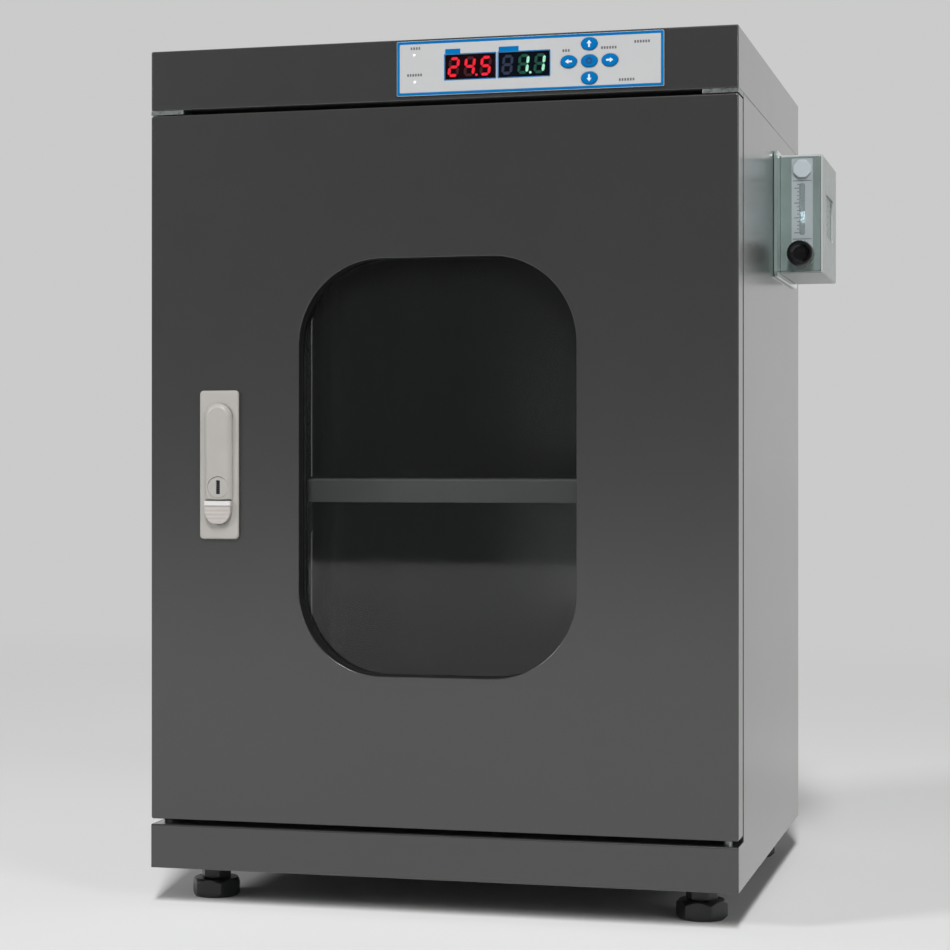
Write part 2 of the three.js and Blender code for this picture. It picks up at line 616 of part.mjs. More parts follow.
// The push-in gas fitting in the header's rear wall.
function gasInlet() {
  const { radius, hex, reach, collar } = INLET;
  const x = TUBE_RUN.inner;
  const shank = deepRod(x, VALVE.port, radius, VALVE.rear + GAP, CASE.depth + reach);
  const nut = frontPlate(regularPolygon(6, hex, x, VALVE.port), CASE.depth + GAP, collar);
  const bore = deepRod(x, VALVE.port, TUBE.radius, VALVE.rear, CASE.depth + reach + OVERCUT);
  return cut(join(shank, nut), bore);
}

function solenoidValve() {
  const { front, rear, bottom, top, half, port, coil, headroom } = VALVE;
  const x = TUBE_RUN.inner;
  const body = box([x - half, back(front), bottom], [x + half, back(rear), top]);
  const middle = back((front + rear) / 2);
  const winding = uprightRod(x, middle, coil, top - OVERLAP, TOP_Z - SHEET - headroom);
  const passage = deepRod(x, port, TUBE.radius + GAP, front - OVERCUT, rear + OVERCUT);
  return cut(join(body, winding), passage);
}

// The humidity probe hangs into the chamber through the header floor.
function humidityProbe() {
  const { x, depth, radius, length, flange, flangeThick, chamfer } = PROBE;
  const seat = HEADER_Z + SHEET + GAP;
  const low = HEADER_Z - length;
  const high = seat + flangeThick;
  const tip = [[0, low], [radius - chamfer, low], [radius, low + chamfer]];
  const head = [[radius, seat], [flange, seat], [flange, high], [0, high]];
  return turned([...tip, ...head], 20).translate(x, back(depth), 0);
}

// ---------------------------------------------------------------- gas line and flow meter

function supplyTube() {
  const wallY = back(TUBE_RUN.wallDepth);
  const portY = back(METER.front + BLOCK.depth + 2 * GAP);
  return tubeAlong([
    [TUBE_RUN.inner, back(VALVE.front - TUBE.short), VALVE.port],
    [TUBE_RUN.inner, wallY, VALVE.port],
    [TUBE_RUN.inner, wallY, METER_BORE.bottom],
    [METER_BORE.x, wallY, METER_BORE.bottom],
    [METER_BORE.x, portY, METER_BORE.bottom],
  ], TUBE, 32);
}

function purgeTube() {
  const wallY = back(TUBE_RUN.purgeDepth);
  const portY = back(METER.front + BLOCK.depth + 2 * GAP);
  return tubeAlong([
    [METER_BORE.x, portY, METER_BORE.top],
    [METER_BORE.x, wallY, METER_BORE.top],
    [TUBE_RUN.inner, wallY, METER_BORE.top],
  ], TUBE, 14);
}

function meterWallPlate() {
  const { front, rear, bottom, top, thick, radius } = METER_PLATE;
  const outline = rectangle([front, bottom], [rear, top], radius);
  outline.holes.push(circle(TUBE_RUN.wallDepth, METER_BORE.bottom, TUBE.hole));
  outline.holes.push(circle(TUBE_RUN.purgeDepth, METER_BORE.top, TUBE.hole));
  return sidePlate(outline, HALF_WIDTH + GAP, thick);
}

// The meter's folded cover: top, bottom, rear and outer side, open in front and towards the wall.
function meterHousing() {
  const { front, rear, bottom, top, sheet } = METER;
  const outer = box([METER_INNER, back(front), bottom], [METER_OUTER, back(rear), top]);
  const hollow = box(
    [METER_INNER - OVERCUT, back(front - OVERCUT), bottom + sheet],
    [METER_OUTER - sheet, back(rear - sheet), top - sheet],
  );
  const slotShape = rectangle([METER_SLOT.front, METER_SLOT.bottom], [METER_SLOT.rear, METER_SLOT.top], 2);
  const slot = sidePlate(slotShape, METER_OUTER - 2 * sheet, 3 * sheet, { smooth: 2 });
  return cut(outer, hollow, slot);
}

// The clear body of the flow meter, bored for the float, the two rear ports, the valve and the plug.
function meterBlock() {
  const { front, bottom, top, sheet } = METER;
  const { depth, proud } = BLOCK;
  const rear = front + depth;
  const body = box(
    [METER_INNER + GAP, back(front - proud), bottom + sheet + GAP],
    [METER_OUTER - sheet - GAP, back(rear), top - sheet - GAP],
  );
  const { x, radius } = METER_BORE;
  const middle = front + depth / 2;
  const bore = uprightRod(x, back(middle), radius, METER_BORE.bottom, METER_PLUG.z);
  const ports = [METER_BORE.bottom, METER_BORE.top].map((z) => (
    deepRod(x, z, TUBE.radius, middle, rear + OVERCUT)
  ));
  const valveBore = deepRod(x, KNOB.z, KNOB.stem + GAP, front - 2 * proud, middle + OVERLAP);
  const plugBore = deepRod(x, METER_PLUG.z, METER_PLUG.shank + GAP, front - 2 * proud, middle);
  return cut(body, bore, ...ports, valveBore, plugBore);
}

function meterPlug() {
  const { radius, head, shank, z, reach } = METER_PLUG;
  const face = METER.front - BLOCK.proud - GAP;
  const cap = frontPlate(regularPolygon(8, radius, METER_BORE.x, z, Math.PI / 8), face - head, head);
  return join(cap, deepRod(METER_BORE.x, z, shank, face - OVERLAP, METER.front + reach));
}

function meterFloat() {
  const { radius, height, z, waist, waistHeight, taper } = FLOAT;
  const low = z - height / 2;
  const high = z + height / 2;
  const narrow = radius * waist;
  const profile = [
    [0, low], [radius, low + taper], [narrow, z - waistHeight / 2],
    [narrow, z + waistHeight / 2], [radius, high - taper], [radius, high], [0, high],
  ];
  return turned(profile, 12).translate(METER_BORE.x, back(METER.front + BLOCK.depth / 2), 0);
}

// The needle valve's knob: a dished cap on a stem, turned about the depth axis.
function meterKnob() {
  const { radius, length, stem, stemReach, z, dish, rim, skirt } = KNOB;
  const face = METER.front - BLOCK.proud;
  const front = face - length;
  const stemEnd = METER.front + stemReach;
  const play = 1;
  const profile = [
    [0, front + dish], [radius - rim - 1, front + dish], [radius - rim, front], [radius - 1, front],
    [radius, front + 1.5], [radius, face - skirt], [radius - rim, face - play], [stem, face - play],
    [stem, stemEnd], [0, stemEnd],
  ];
  return turned(profile, ROUND).rotateX(TO_THE_REAR).translate(METER_BORE.x, back(0), z);
}

// ---------------------------------------------------------------- shelf

function shelfTray() {
  const { top, lip, front, rear, halfWidth, sheet, rows, columns } = SHELF;
  const outer = box([-halfWidth, back(front), top - lip], [halfWidth, back(rear), top]);
  const hollow = box(
    [-halfWidth + sheet, back(front + sheet), top - lip - OVERCUT],
    [halfWidth - sheet, back(rear - sheet), top - sheet],
  );
  const vents = [];
  for (let row = 0; row < rows; row += 1) {
    const depth = front + ((row + 0.5) * (rear - front)) / rows;
    for (let column = 0; column < columns; column += 1) {
      const x = ((column + 0.5) / columns - 0.5) * 2 * halfWidth;
      const shape = centred(x, depth, VENT.length, VENT.width, VENT.width / 2);
      vents.push(flatPlate(shape, top - 2 * sheet, 3 * sheet, { smooth: 1 }));
    }
  }
  return cut(outer, hollow, ...vents);
}

// A slotted upright channel at a side wall; depth is its middle.
function shelfStandard(side, depth) {
  const { width, deep, bottom, top, pitch } = STANDARD;
  const wall = SHEET;
  const outerX = FIT_X;
  const innerX = outerX - deep;
  const low = back(depth - width / 2);
  const high = back(depth + width / 2);
  const channel = box([innerX, low, bottom], [outerX, high, top]);
  const hollow = box(
    [innerX + wall, low + wall, bottom - OVERCUT],
    [outerX + OVERCUT, high - wall, top + OVERCUT],
  );
  const slots = [];
  for (let z = STANDARD_SLOT.first; z < top - pitch; z += pitch) {
    slots.push(box(
      [innerX - OVERCUT, back(depth - STANDARD_SLOT.width / 2), z - STANDARD_SLOT.height / 2],
      [innerX + wall + OVERCUT, back(depth + STANDARD_SLOT.width / 2), z + STANDARD_SLOT.height / 2],
    ));
  }
  const right = cut(channel, hollow, ...slots);
  return side > 0 ? right : right.rotateZ(Math.PI).translate(0, 2 * back(depth), 0);
}

// The slot a clip hooks into is the highest one whose foot is below the shelf's lip.
function clipSlot() {
  const below = SHELF.top - SHELF.lip - STANDARD_SLOT.first;
  return STANDARD_SLOT.first + STANDARD.pitch * Math.floor(below / STANDARD.pitch);
}

// A clip that hooks into a slot of a standard and carries the shelf's lip.
function shelfClip(side, depth) {
  const { reach, width, thick, drop, hook: hookReach } = CLIP;
  const face = FIT_X - STANDARD.deep - GAP;
  const top = SHELF.top - SHELF.lip - GAP;
  const hookWide = STANDARD_SLOT.width - 2 * GAP;
  const hookZ = clipSlot();
  const low = back(depth - width / 2);
  const high = back(depth + width / 2);
  const ledge = box([face - reach, low, top - thick], [face, high, top]);
  const web = box([face - thick, low, hookZ - drop], [face, high, top - thick / 2]);
  const hook = box(
    [face - thick, back(depth - hookWide / 2), hookZ - STANDARD_SLOT.height / 2 + GAP],
    [face + GAP + SHEET + hookReach, back(depth + hookWide / 2), hookZ + STANDARD_SLOT.height / 2 - GAP],
  );
  const right = join(ledge, web, hook);
  return side > 0 ? right : right.rotateZ(Math.PI).translate(0, 2 * back(depth), 0);
}

// ---------------------------------------------------------------- feet

// A screw foot: a hexagonal pad, a smaller hexagon to turn it by, and a stud into the base pan.
function foot([x, depth]) {
  const { pad, padHeight, chamfer, nut } = FOOT;
  const nutTop = BASE_Z - NUT_CLEARANCE;
  const nutBottom = padHeight - OVERLAP;
  const padPlate = flatPlate(regularPolygon(6, pad, x, depth), 0, padHeight, { bevel: chamfer });
  const nutPlate = flatPlate(regularPolygon(6, nut, x, depth), nutBottom, nutTop - nutBottom);
  return join(padPlate, nutPlate, uprightRod(x, back(depth), STUD.radius, nutTop - OVERLAP, STUD.top));
}

// ---------------------------------------------------------------- assembly

function part(name, geometry, material) {
  const mesh = new THREE.Mesh(geometry, material);
  mesh.name = name;
  return mesh;
}

function group(...children) {
  return new THREE.Group().add(...children);
}

function caseParts() {
  return group(
    part('side_panel_left', sidePanel(-1), PAINT),
    part('side_panel_right', sidePanel(1), PAINT),
    part('rear_panel', rearPanel(), PAINT),
    part('base_pan', basePan(), PAINT),
    part('chamber_floor', chamberFloor(), INNER_PAINT),
    part('plinth_front', plinthFront(), PAINT),
    part('front_frame', frontFrame(), INNER_PAINT),
    part('header_shell', headerShell(), PAINT),
    part('header_floor', headerFloor(), INNER_PAINT),
    part('hinge_plate_upper', upperHinge(), ZINC),
    part('hinge_plate_lower', lowerHinge(), ZINC),
    part('corner_plate_upper', cornerPlate(-1), ZINC),
  );
}

function shelfParts() {
  const parts = [part('shelf', shelfTray(), INNER_PAINT)];
  for (const [sideName, side] of [['left', -1], ['right', 1]]) {
    for (const [endName, depth] of [['front', STANDARD.front], ['rear', STANDARD.rear]]) {
      parts.push(part(`shelf_standard_${endName}_${sideName}`, shelfStandard(side, depth), ZINC));
      parts.push(part(`shelf_clip_${endName}_${sideName}`, shelfClip(side, depth), ZINC));
    }
  }
  return group(...parts);
}

function headerParts() {
  const places = Object.entries(keyPlaces());
  const keys = places.map(([name, place]) => part(`key_${name}`, membraneKey(place), KEY_BLUE));
  return group(
    part('control_overlay', controlOverlay(), OVERLAY_FACE),
    part('display_temperature', displayModule(DISPLAY.temperatureX), LED_RED),
    part('display_humidity', displayModule(DISPLAY.humidityX), LED_GREEN),
    ...keys,
    part('control_board', controlBoard(), BOARD_GREEN),
    part('power_supply', powerSupply(), ZINC),
    part('power_inlet', powerInlet(), BLACK_PLASTIC),
    part('gas_inlet', gasInlet(), ZINC),
    part('solenoid_valve', solenoidValve(), BLACK_PLASTIC),
    part('humidity_probe', humidityProbe(), BLACK_PLASTIC),
  );
}

function gasParts() {
  return group(
    part('supply_tube', supplyTube(), CLEAR_TUBE),
    part('purge_tube', purgeTube(), CLEAR_TUBE),
    part('meter_wall_plate', meterWallPlate(), ACRYLIC),
    part('meter_housing', meterHousing(), METER_GREY),
    part('meter_block', meterBlock(), ACRYLIC),
    part('meter_plug', meterPlug(), METER_GREY),
    part('meter_float', meterFloat(), ZINC),
    part('meter_knob', meterKnob(), BLACK_PLASTIC),
  );
}

function doorParts() {
  const upperBush = hingeBush(DOOR_TOP - HINGE.reach, DOOR_TOP - SHEET - GAP, HINGE.upperPin);
  const lowerBush = hingeBush(DOOR_BOTTOM + SHEET + GAP, DOOR_BOTTOM + HINGE.reach, HINGE.lowerPin);
  return group(
    part('door_panel', doorPanel(), PAINT),
    part('door_liner', doorLiner(), INNER_PAINT),
    part('door_gasket', doorGasket(), RUBBER),
    part('window_gasket', windowGasket(), RUBBER),
    part('window_glass', windowGlass(), GLASS),
    part('hinge_bush_upper', upperBush, BLACK_PLASTIC),
    part('hinge_bush_lower', lowerBush, BLACK_PLASTIC),
    part('latch_housing', latchHousing(), CAST_ZINC),
    part('latch_spindle', latchSpindle(), ZINC),
    part('latch_cam', latchCam(), ZINC),
    part('latch_lever', latchLever(), CAST_ZINC),
    part('latch_key_plug', latchKeyPlug(), CAST_ZINC),
    part('latch_button', latchButton(), BUTTON_FINISH),
  );
}

function feetParts() {
  const feet = Object.entries(footPlaces());
  return group(...feet.map(([name, place]) => part(`foot_${name}`, foot(place), BLACK_PLASTIC)));
}

const dryerBox = group(caseParts(), shelfParts(), headerParts(), gasParts(), doorParts(), feetParts());
dryerBox.position.set(MIDDLE.x, MIDDLE.y, 0);

export default group(dryerBox);
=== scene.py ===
"""Looks of the filament dryer box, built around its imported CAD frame. Metres, +Z up, the door faces -Y."""

import math

import bmesh
import bpy
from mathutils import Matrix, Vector


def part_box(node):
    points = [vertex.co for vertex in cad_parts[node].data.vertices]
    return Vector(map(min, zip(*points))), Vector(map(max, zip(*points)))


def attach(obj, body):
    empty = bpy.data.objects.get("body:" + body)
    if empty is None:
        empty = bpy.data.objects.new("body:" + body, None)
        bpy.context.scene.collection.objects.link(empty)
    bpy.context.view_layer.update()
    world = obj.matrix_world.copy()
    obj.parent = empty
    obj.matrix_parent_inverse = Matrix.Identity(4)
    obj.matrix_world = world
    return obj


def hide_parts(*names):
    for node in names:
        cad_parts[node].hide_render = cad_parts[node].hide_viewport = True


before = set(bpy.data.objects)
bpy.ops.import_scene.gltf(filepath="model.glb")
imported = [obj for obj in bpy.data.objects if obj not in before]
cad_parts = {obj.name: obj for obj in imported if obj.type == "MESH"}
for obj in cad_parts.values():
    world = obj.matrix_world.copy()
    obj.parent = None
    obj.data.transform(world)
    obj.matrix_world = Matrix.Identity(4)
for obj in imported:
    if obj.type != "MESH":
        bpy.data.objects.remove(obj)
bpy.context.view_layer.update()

MM = 0.001

# ---- sizes that the looks add to the frame

SHEET = 1.5 * MM  # the cabinet's sheet
FOLD = 1.3 * MM  # outer radius of a fold in it
EDGE = 0.4 * MM  # usual softening of an edge
CUT = 0.05 * MM  # softening of a punched edge and of the finest print
LEAST_CORNER = 0.2 * MM

VENTS = {"columns": 5, "rows": 3, "pitch": 27 * MM, "rise": 9 * MM, "length": 22 * MM, "width": 3 * MM}
SCREW = {"rows": 4, "inset": 10 * MM, "radius": 3.2 * MM}

WINDOW_RADIUS = 64 * MM
SEAL_LIP = 10 * MM
GLASS_BITE = 6 * MM
DOOR_SEAL_CORNER = 14 * MM

POCKET_RADIUS = 11.15 * MM
LEVER_LEAN = 2.4 * MM  # how much further back the lever's foot stands than its top
LIP_HEIGHT = 3.4 * MM
RIB_PITCH = 3.0 * MM
RIB_DEPTH = 0.09 * MM
WAFER = {"count": 7, "pitch": 1.6 * MM, "thick": 1.5 * MM, "half_width": 1.9 * MM, "depth": 1.6 * MM}

DISPLAYS = ("display_temperature", "display_humidity")
KEYS = ("up", "down", "left", "right", "center")
ARROW_TURNS = {"up": 90, "down": -90, "left": 180, "right": 0}
PRINT = 0.06 * MM  # how far printed ink stands proud, drawn thick enough to render
BORDER = 2.3 * MM
TAB_HEIGHT = 4.4 * MM
TAB_LENGTHS = {"display_temperature": 11.6 * MM, "display_humidity": 15.0 * MM}
SURROUND = 0.7 * MM

# Captions are rows of plain blocks: from the overlay's left edge, from its top edge, and length, in mm.
# The lamps are placed in the same way.
CAPTIONS = {
    "run_lamp": (14.3, 5.4, 9.0),
    "fault_lamp": (13.6, 25.0, 13.0),
    "left_key": (127.8, 11.9, 6.0),
    "right_key": (159.3, 11.0, 13.0),
    "upper_right": (183.7, 7.6, 12.0),
    "lower_right": (172.4, 34.6, 12.0),
}
CAPTION_HEIGHT = 2.0 * MM
CAPTION_PITCH = 2.0 * MM
LAMPS = {"run": (13.4, 10.4), "fault": (13.8, 30.2)}
LAMP_RADIUS = 1.1 * MM

DIGIT_SLANT = 0.11
DIGIT_BAR = 2.1 * MM
DIGIT_BARS = {"1": "bc", "2": "abged", "4": "fgbc", "5": "afgcd", " ": ""}  # the bars that each digit lights

SHELF_SHEET = 1.2 * MM
SHELF_VENTS = {"rows": 3, "columns": 7, "length": 40 * MM, "width": 6 * MM, "radius": 2.99 * MM}

TUBE = {"radius": 3 * MM, "bend": 14 * MM, "hole": 4.2 * MM}
SUPPLY_FROM_REAR = 49 * MM  # of the meter's wall plate
PURGE_FROM_REAR = 65 * MM
# On the flow meter, heights are from the ground; front and rear are from the case's front.
METER_SLOT = {"front": 255 * MM, "rear": 310 * MM, "bottom": 520 * MM, "top": 555 * MM}
PANE = {"front": 257.4 * MM, "rear": 314 * MM, "bottom": 516 * MM, "top": 559 * MM}
METER_SHEET = 1.5 * MM
METER_BORE = 4 * MM
SCALE = {"bottom": 521 * MM, "top": 560 * MM, "marks": 14, "major": 4, "width": 17 * MM, "mark": 0.7 * MM}
SCALE_LINES = (515.6 * MM, 562.5 * MM)
SIGHT = {"z": 540 * MM, "width": 4.6 * MM, "height": 42 * MM}
KNOB_FLUTES = 24

FOOT = {"pad_top": 14 * MM, "nut_top": 26 * MM, "nut": 12 * MM, "pitch": 1.25 * MM}
STUD = {"crest": 4.8 * MM, "root": 4.2 * MM}


# ---- outlines, as lists of (u, v) points

def arc(u, v, radius, start, end, steps):
    turns = (math.radians(start + (end - start) * i / steps) for i in range(steps + 1))
    return [(u + radius * math.cos(turn), v + radius * math.sin(turn)) for turn in turns]


def rounded(left, low, right, high, radius, steps=6):
    corners = (
        (right - radius, low + radius, -90),
        (right - radius, high - radius, 0),
        (left + radius, high - radius, 90),
        (left + radius, low + radius, 180),
    )
    points = []
    for u, v, start in corners:
        points += arc(u, v, radius, start, start + 90, steps)
    return points


def around(u, v, width, height, radius, steps=6):
    return rounded(u - width / 2, v - height / 2, u + width / 2, v + height / 2, radius, steps)


def oval(u, v, width, height, steps=40):
    turns = (2 * math.pi * i / steps for i in range(steps))
    return [(u + width / 2 * math.cos(turn), v + height / 2 * math.sin(turn)) for turn in turns]


def circle(u, v, radius, steps=40):
    return oval(u, v, 2 * radius, 2 * radius, steps)


def regular(sides, u, v, radius, turn=0.0):
    angles = (math.radians(turn + 360 * i / sides) for i in range(sides))
    return [(u + radius * math.cos(angle), v + radius * math.sin(angle)) for angle in angles]


def place(axis, u, v, level):
    """A point of a flat outline in space, at a level along an axis."""
    return {"x": (level, u, v), "y": (u, level, v), "z": (u, v, level)}[axis]


def at(axis, points, level):
    return [place(axis, u, v, level) for u, v in points]


class Span:
    """How far a CAD node reaches: left to right in x, front to rear in y, bottom to top in z."""

    def __init__(self, node):
        self.low, self.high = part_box(node)
        self.left, self.front, self.bottom = self.low
        self.right, self.rear, self.top = self.high
        self.x, self.y, self.z = (self.low + self.high) / 2
        self.width, self.depth, self.height = self.high - self.low

    def outline(self, axis, inset=0.0, radius=LEAST_CORNER, steps=4):
        """The node's box as seen along an axis, drawn in by an inset, with rounded corners."""
        u, v = {"x": (1, 2), "y": (0, 2), "z": (0, 1)}[axis]
        low, high = self.low, self.high
        return rounded(low[u] + inset, low[v] + inset, high[u] - inset, high[v] - inset, radius, steps)


# ---- solids

def linked(name, bm):
    """A bmesh as an object, with every face turned outwards."""
    bmesh.ops.remove_doubles(bm, verts=bm.verts, dist=1e-7)
    bmesh.ops.recalc_face_normals(bm, faces=bm.faces)
    if bm.calc_volume(signed=True) < 0:
        bmesh.ops.reverse_faces(bm, faces=bm.faces)
    mesh = bpy.data.meshes.new(name)
    bm.to_mesh(mesh)
    bm.free()
    made = bpy.data.objects.new(name, mesh)
    bpy.context.scene.collection.objects.link(made)
    return made


def evaluated(made):
    """A bmesh of an object with its curves and modifiers worked out."""
    depsgraph = bpy.context.evaluated_depsgraph_get()
    bm = bmesh.new()
    bm.from_mesh(bpy.data.meshes.new_from_object(made.evaluated_get(depsgraph)))
    return bm


def swept(curve, loops, closed):
    """A bmesh of a curve through loops of points; the curve itself is used up."""
    for points in loops:
        spline = curve.splines.new("POLY")
        spline.points.add(len(points) - 1)
        for target, point in zip(spline.points, points):
            target.co = (*point, 1)
        spline.use_cyclic_u = closed
    drawn = bpy.data.objects.new(curve.name, curve)
    bpy.context.scene.collection.objects.link(drawn)
    bm = evaluated(drawn)
    bpy.data.objects.remove(drawn)
    return bm


def plate(name, loops, axis, low, high, bevel=EDGE, steps=2):
    """A flat plate between low and high along an axis, with rounded edges; the first loop is its outline."""
    curve = bpy.data.curves.new(name, "CURVE")
    curve.dimensions = "2D"
    curve.fill_mode = "BOTH"
    curve.extrude = (high - low) / 2 - bevel
    curve.bevel_depth = bevel
    curve.bevel_resolution = steps
    curve.offset = -bevel
    bm = swept(curve, [[(u, v, 0) for u, v in points] for points in loops], True)
    middle = (low + high) / 2
    way = -1 if axis == "y" else 1
    for vertex in bm.verts:
        u, v, w = vertex.co
        vertex.co = place(axis, u, v, middle + way * w)
    return linked(name, bm)


def punch(loop, axis, low, high):
    """A tool for an opening with a loop's outline."""
    return plate("punch", [loop], axis, low, high, CUT)


def loft(name, rings, closed=False):
    """A solid skinned through rings of equal length, capped at its ends, or joined end to end when closed."""
    bm = bmesh.new()
    rows = [[bm.verts.new(point) for point in ring] for ring in rings]
    pairs = list(zip(rows, rows[1:]))
    if closed:
        pairs.append((rows[-1], rows[0]))
    else:
        bm.faces.new(rows[0])
        bm.faces.new(rows[-1])
    for low, high in pairs:
        for i in range(len(low)):
            j = (i + 1) % len(low)
            bm.faces.new((low[i], low[j], high[j], high[i]))
    return linked(name, bm)


def block(name, low, high, bevel=EDGE):
    outline = rounded(low[0], low[2], high[0], high[2], bevel * 1.01, 1)
    return plate(name, [outline], "y", low[1], high[1], bevel)


def merged(name, solids):
    """Several solids as one piece."""
    bm = bmesh.new()
    for made in solids:
        bm.from_mesh(made.data)
        bpy.data.objects.remove(made)
    return linked(name, bm)


def combined(made, tools, operation):
    """A solid cut by other solids, or joined with them."""
    for tool in tools:
        step = made.modifiers.new("step", "BOOLEAN")
        step.operation = operation
        step.solver = "MANIFOLD"
        step.object = tool
    bm = evaluated(made)
    name = made.name
    for used in [made, *tools]:
        bpy.data.objects.remove(used)
    return linked(name, bm)


def carved(made, *tools):
    return combined(made, tools, "DIFFERENCE")


def united(made, *tools):
    return combined(made, tools, "UNION")


def spun(name, profile, centre, axis="z", steps=48, radius_at=None):
    """A solid of revolution about an axis through centre, from (radius, height) pairs."""
    rings = []
    for radius, height in profile:
        ring = []
        for i in range(steps):
            turn = 2 * math.pi * i / steps
            reach = radius_at(radius, turn) if radius_at else radius
            point = place(axis, reach * math.cos(turn), reach * math.sin(turn), height)
            ring.append([c + p for c, p in zip(centre, point)])
        rings.append(ring)
    return loft(name, rings)


def bore(radius, low, high, centre, axis="z", steps=48):
    """A tool for a round hole, from low to high along an axis through centre."""
    return spun("bore", [(radius, low), (radius, high)], centre, axis, steps)


def tube(name, stops, radius, bend):
    """A round tube through stops, with rounded bends at the inner ones."""
    bend_steps = 8
    points = [Vector(stops[0])]
    for before, corner, after in zip(stops, stops[1:], stops[2:]):
        corner = Vector(corner)
        start = corner + (Vector(before) - corner).normalized() * bend
        end = corner + (Vector(after) - corner).normalized() * bend
        for i in range(bend_steps + 1):
            t = i / bend_steps
            points.append(start * (1 - t) ** 2 + corner * 2 * t * (1 - t) + end * t ** 2)
    points.append(Vector(stops[-1]))
    curve = bpy.data.curves.new(name, "CURVE")
    curve.dimensions = "3D"
    curve.bevel_depth = radius
    curve.bevel_resolution = 6
    curve.use_fill_caps = True
    return linked(name, swept(curve, [points], False))


def fold_steps(radius, steps=4):
    """Points on a quarter round: (distance in from the side, distance back from the face)."""
    turns = (math.pi / 2 * i / steps for i in range(steps + 1))
    return [(radius * (1 - math.sin(turn)), radius * (1 - math.cos(turn))) for turn in turns]


def folded_tray(name, node, axis, fold, sheet, edge, steps=4, corner=LEAST_CORNER):
    """A tray of folded sheet: its face is at the node's high end along an axis, its rim at the low end."""
    span = Span(node)
    index = "xyz".index(axis)
    rim, face = span.low[index], span.high[index]

    def ring(inset, level):
        return at(axis, span.outline(axis, inset, max(fold - inset, corner)), level)

    rings = [ring(inset, face - drop) for inset, drop in fold_steps(fold, steps)]
    rings += [ring(0, rim + edge), ring(edge, rim), ring(sheet - edge, rim), ring(sheet, rim + edge)]
    if fold > sheet:
        rings += [ring(sheet, face - fold), ring(fold, face - sheet)]
    else:
        rings += [ring(sheet, face - sheet)]
    return loft(name, rings)


# ---- material nodes

def linear(red, green, blue):
    """A colour given as 0 to 255 sRGB, as linear light."""
    def light(value):
        share = value / 255
        return share / 12.92 if share <= 0.04045 else ((share + 0.055) / 1.055) ** 2.4
    return (light(red), light(green), light(blue), 1.0)


FLOOR_TONE = linear(226, 227, 226)
BACK_TONE = linear(202, 203, 202)
FILL = 0.12  # share of the backdrop's light that reaches the object from all round


class Graph:
    """A node tree, with short calls to add nodes and join them."""

    def __init__(self, owner):
        owner.use_nodes = True
        self.tree = owner.node_tree
        self.tree.nodes.clear()

    def add(self, kind, sockets=None, **settings):
        made = self.tree.nodes.new("ShaderNode" + kind)
        for key, value in settings.items():
            setattr(made, key, value)
        for key, value in (sockets or {}).items():
            self.put(made.inputs[key], value)
        return made

    def put(self, socket, value):
        if isinstance(value, bpy.types.NodeSocket):
            self.tree.links.new(value, socket)
        else:
            socket.default_value = value

    def place(self):
        return self.add("TexCoord").outputs["Object"]

    def noise(self, where, scale, detail=2.0, roughness=0.5):
        sockets = {"Vector": where, "Scale": scale, "Detail": detail, "Roughness": roughness}
        return self.add("TexNoise", sockets).outputs["Fac"]

    def span(self, value, from_low, from_high, to_low, to_high, **settings):
        made = self.add("MapRange", {
            "Value": value, "From Min": from_low, "From Max": from_high, "To Min": to_low, "To Max": to_high,
        }, **settings)
        return made.outputs["Result"]

    def spread(self, noise, low, high):
        """A noise spread evenly between two values."""
        return self.span(noise, 0.3, 0.7, low, high)

    def math(self, operation, first, second=0.0):
        return self.add("Math", {0: first, 1: second}, operation=operation).outputs[0]

    def scaled(self, vector, share):
        value = vector if isinstance(vector, bpy.types.NodeSocket) else vector[:3]
        return self.add("VectorMath", {0: value, "Scale": share}, operation="SCALE").outputs[0]

    def blended(self, share, first, second):
        return self.add("Mix", {0: share, 6: first, 7: second}, data_type="RGBA").outputs[2]

    def bumped(self, height, distance):
        return self.add("Bump", {"Height": height, "Strength": 1.0, "Distance": distance}).outputs[0]

    def edges(self, width):
        """1 along the edges of a shape and 0 on its flats."""
        soft = self.add("Bevel", {"Radius": width}, samples=4).outputs["Normal"]
        hard = self.add("NewGeometry").outputs["Normal"]
        likeness = self.add("VectorMath", {0: soft, 1: hard}, operation="DOT_PRODUCT").outputs["Value"]
        return self.span(likeness, 0.995, 0.86, 0.0, 1.0)

    def shader(self, kind, **sockets):
        named = {key.replace("_", " "): value for key, value in sockets.items()}
        return self.add(kind, named).outputs[0]

    def mixed(self, share, first, second):
        return self.add("MixShader", {0: share, 1: first, 2: second}).outputs[0]

    def show(self, shader, kind="OutputMaterial"):
        self.add(kind, {"Surface": shader})


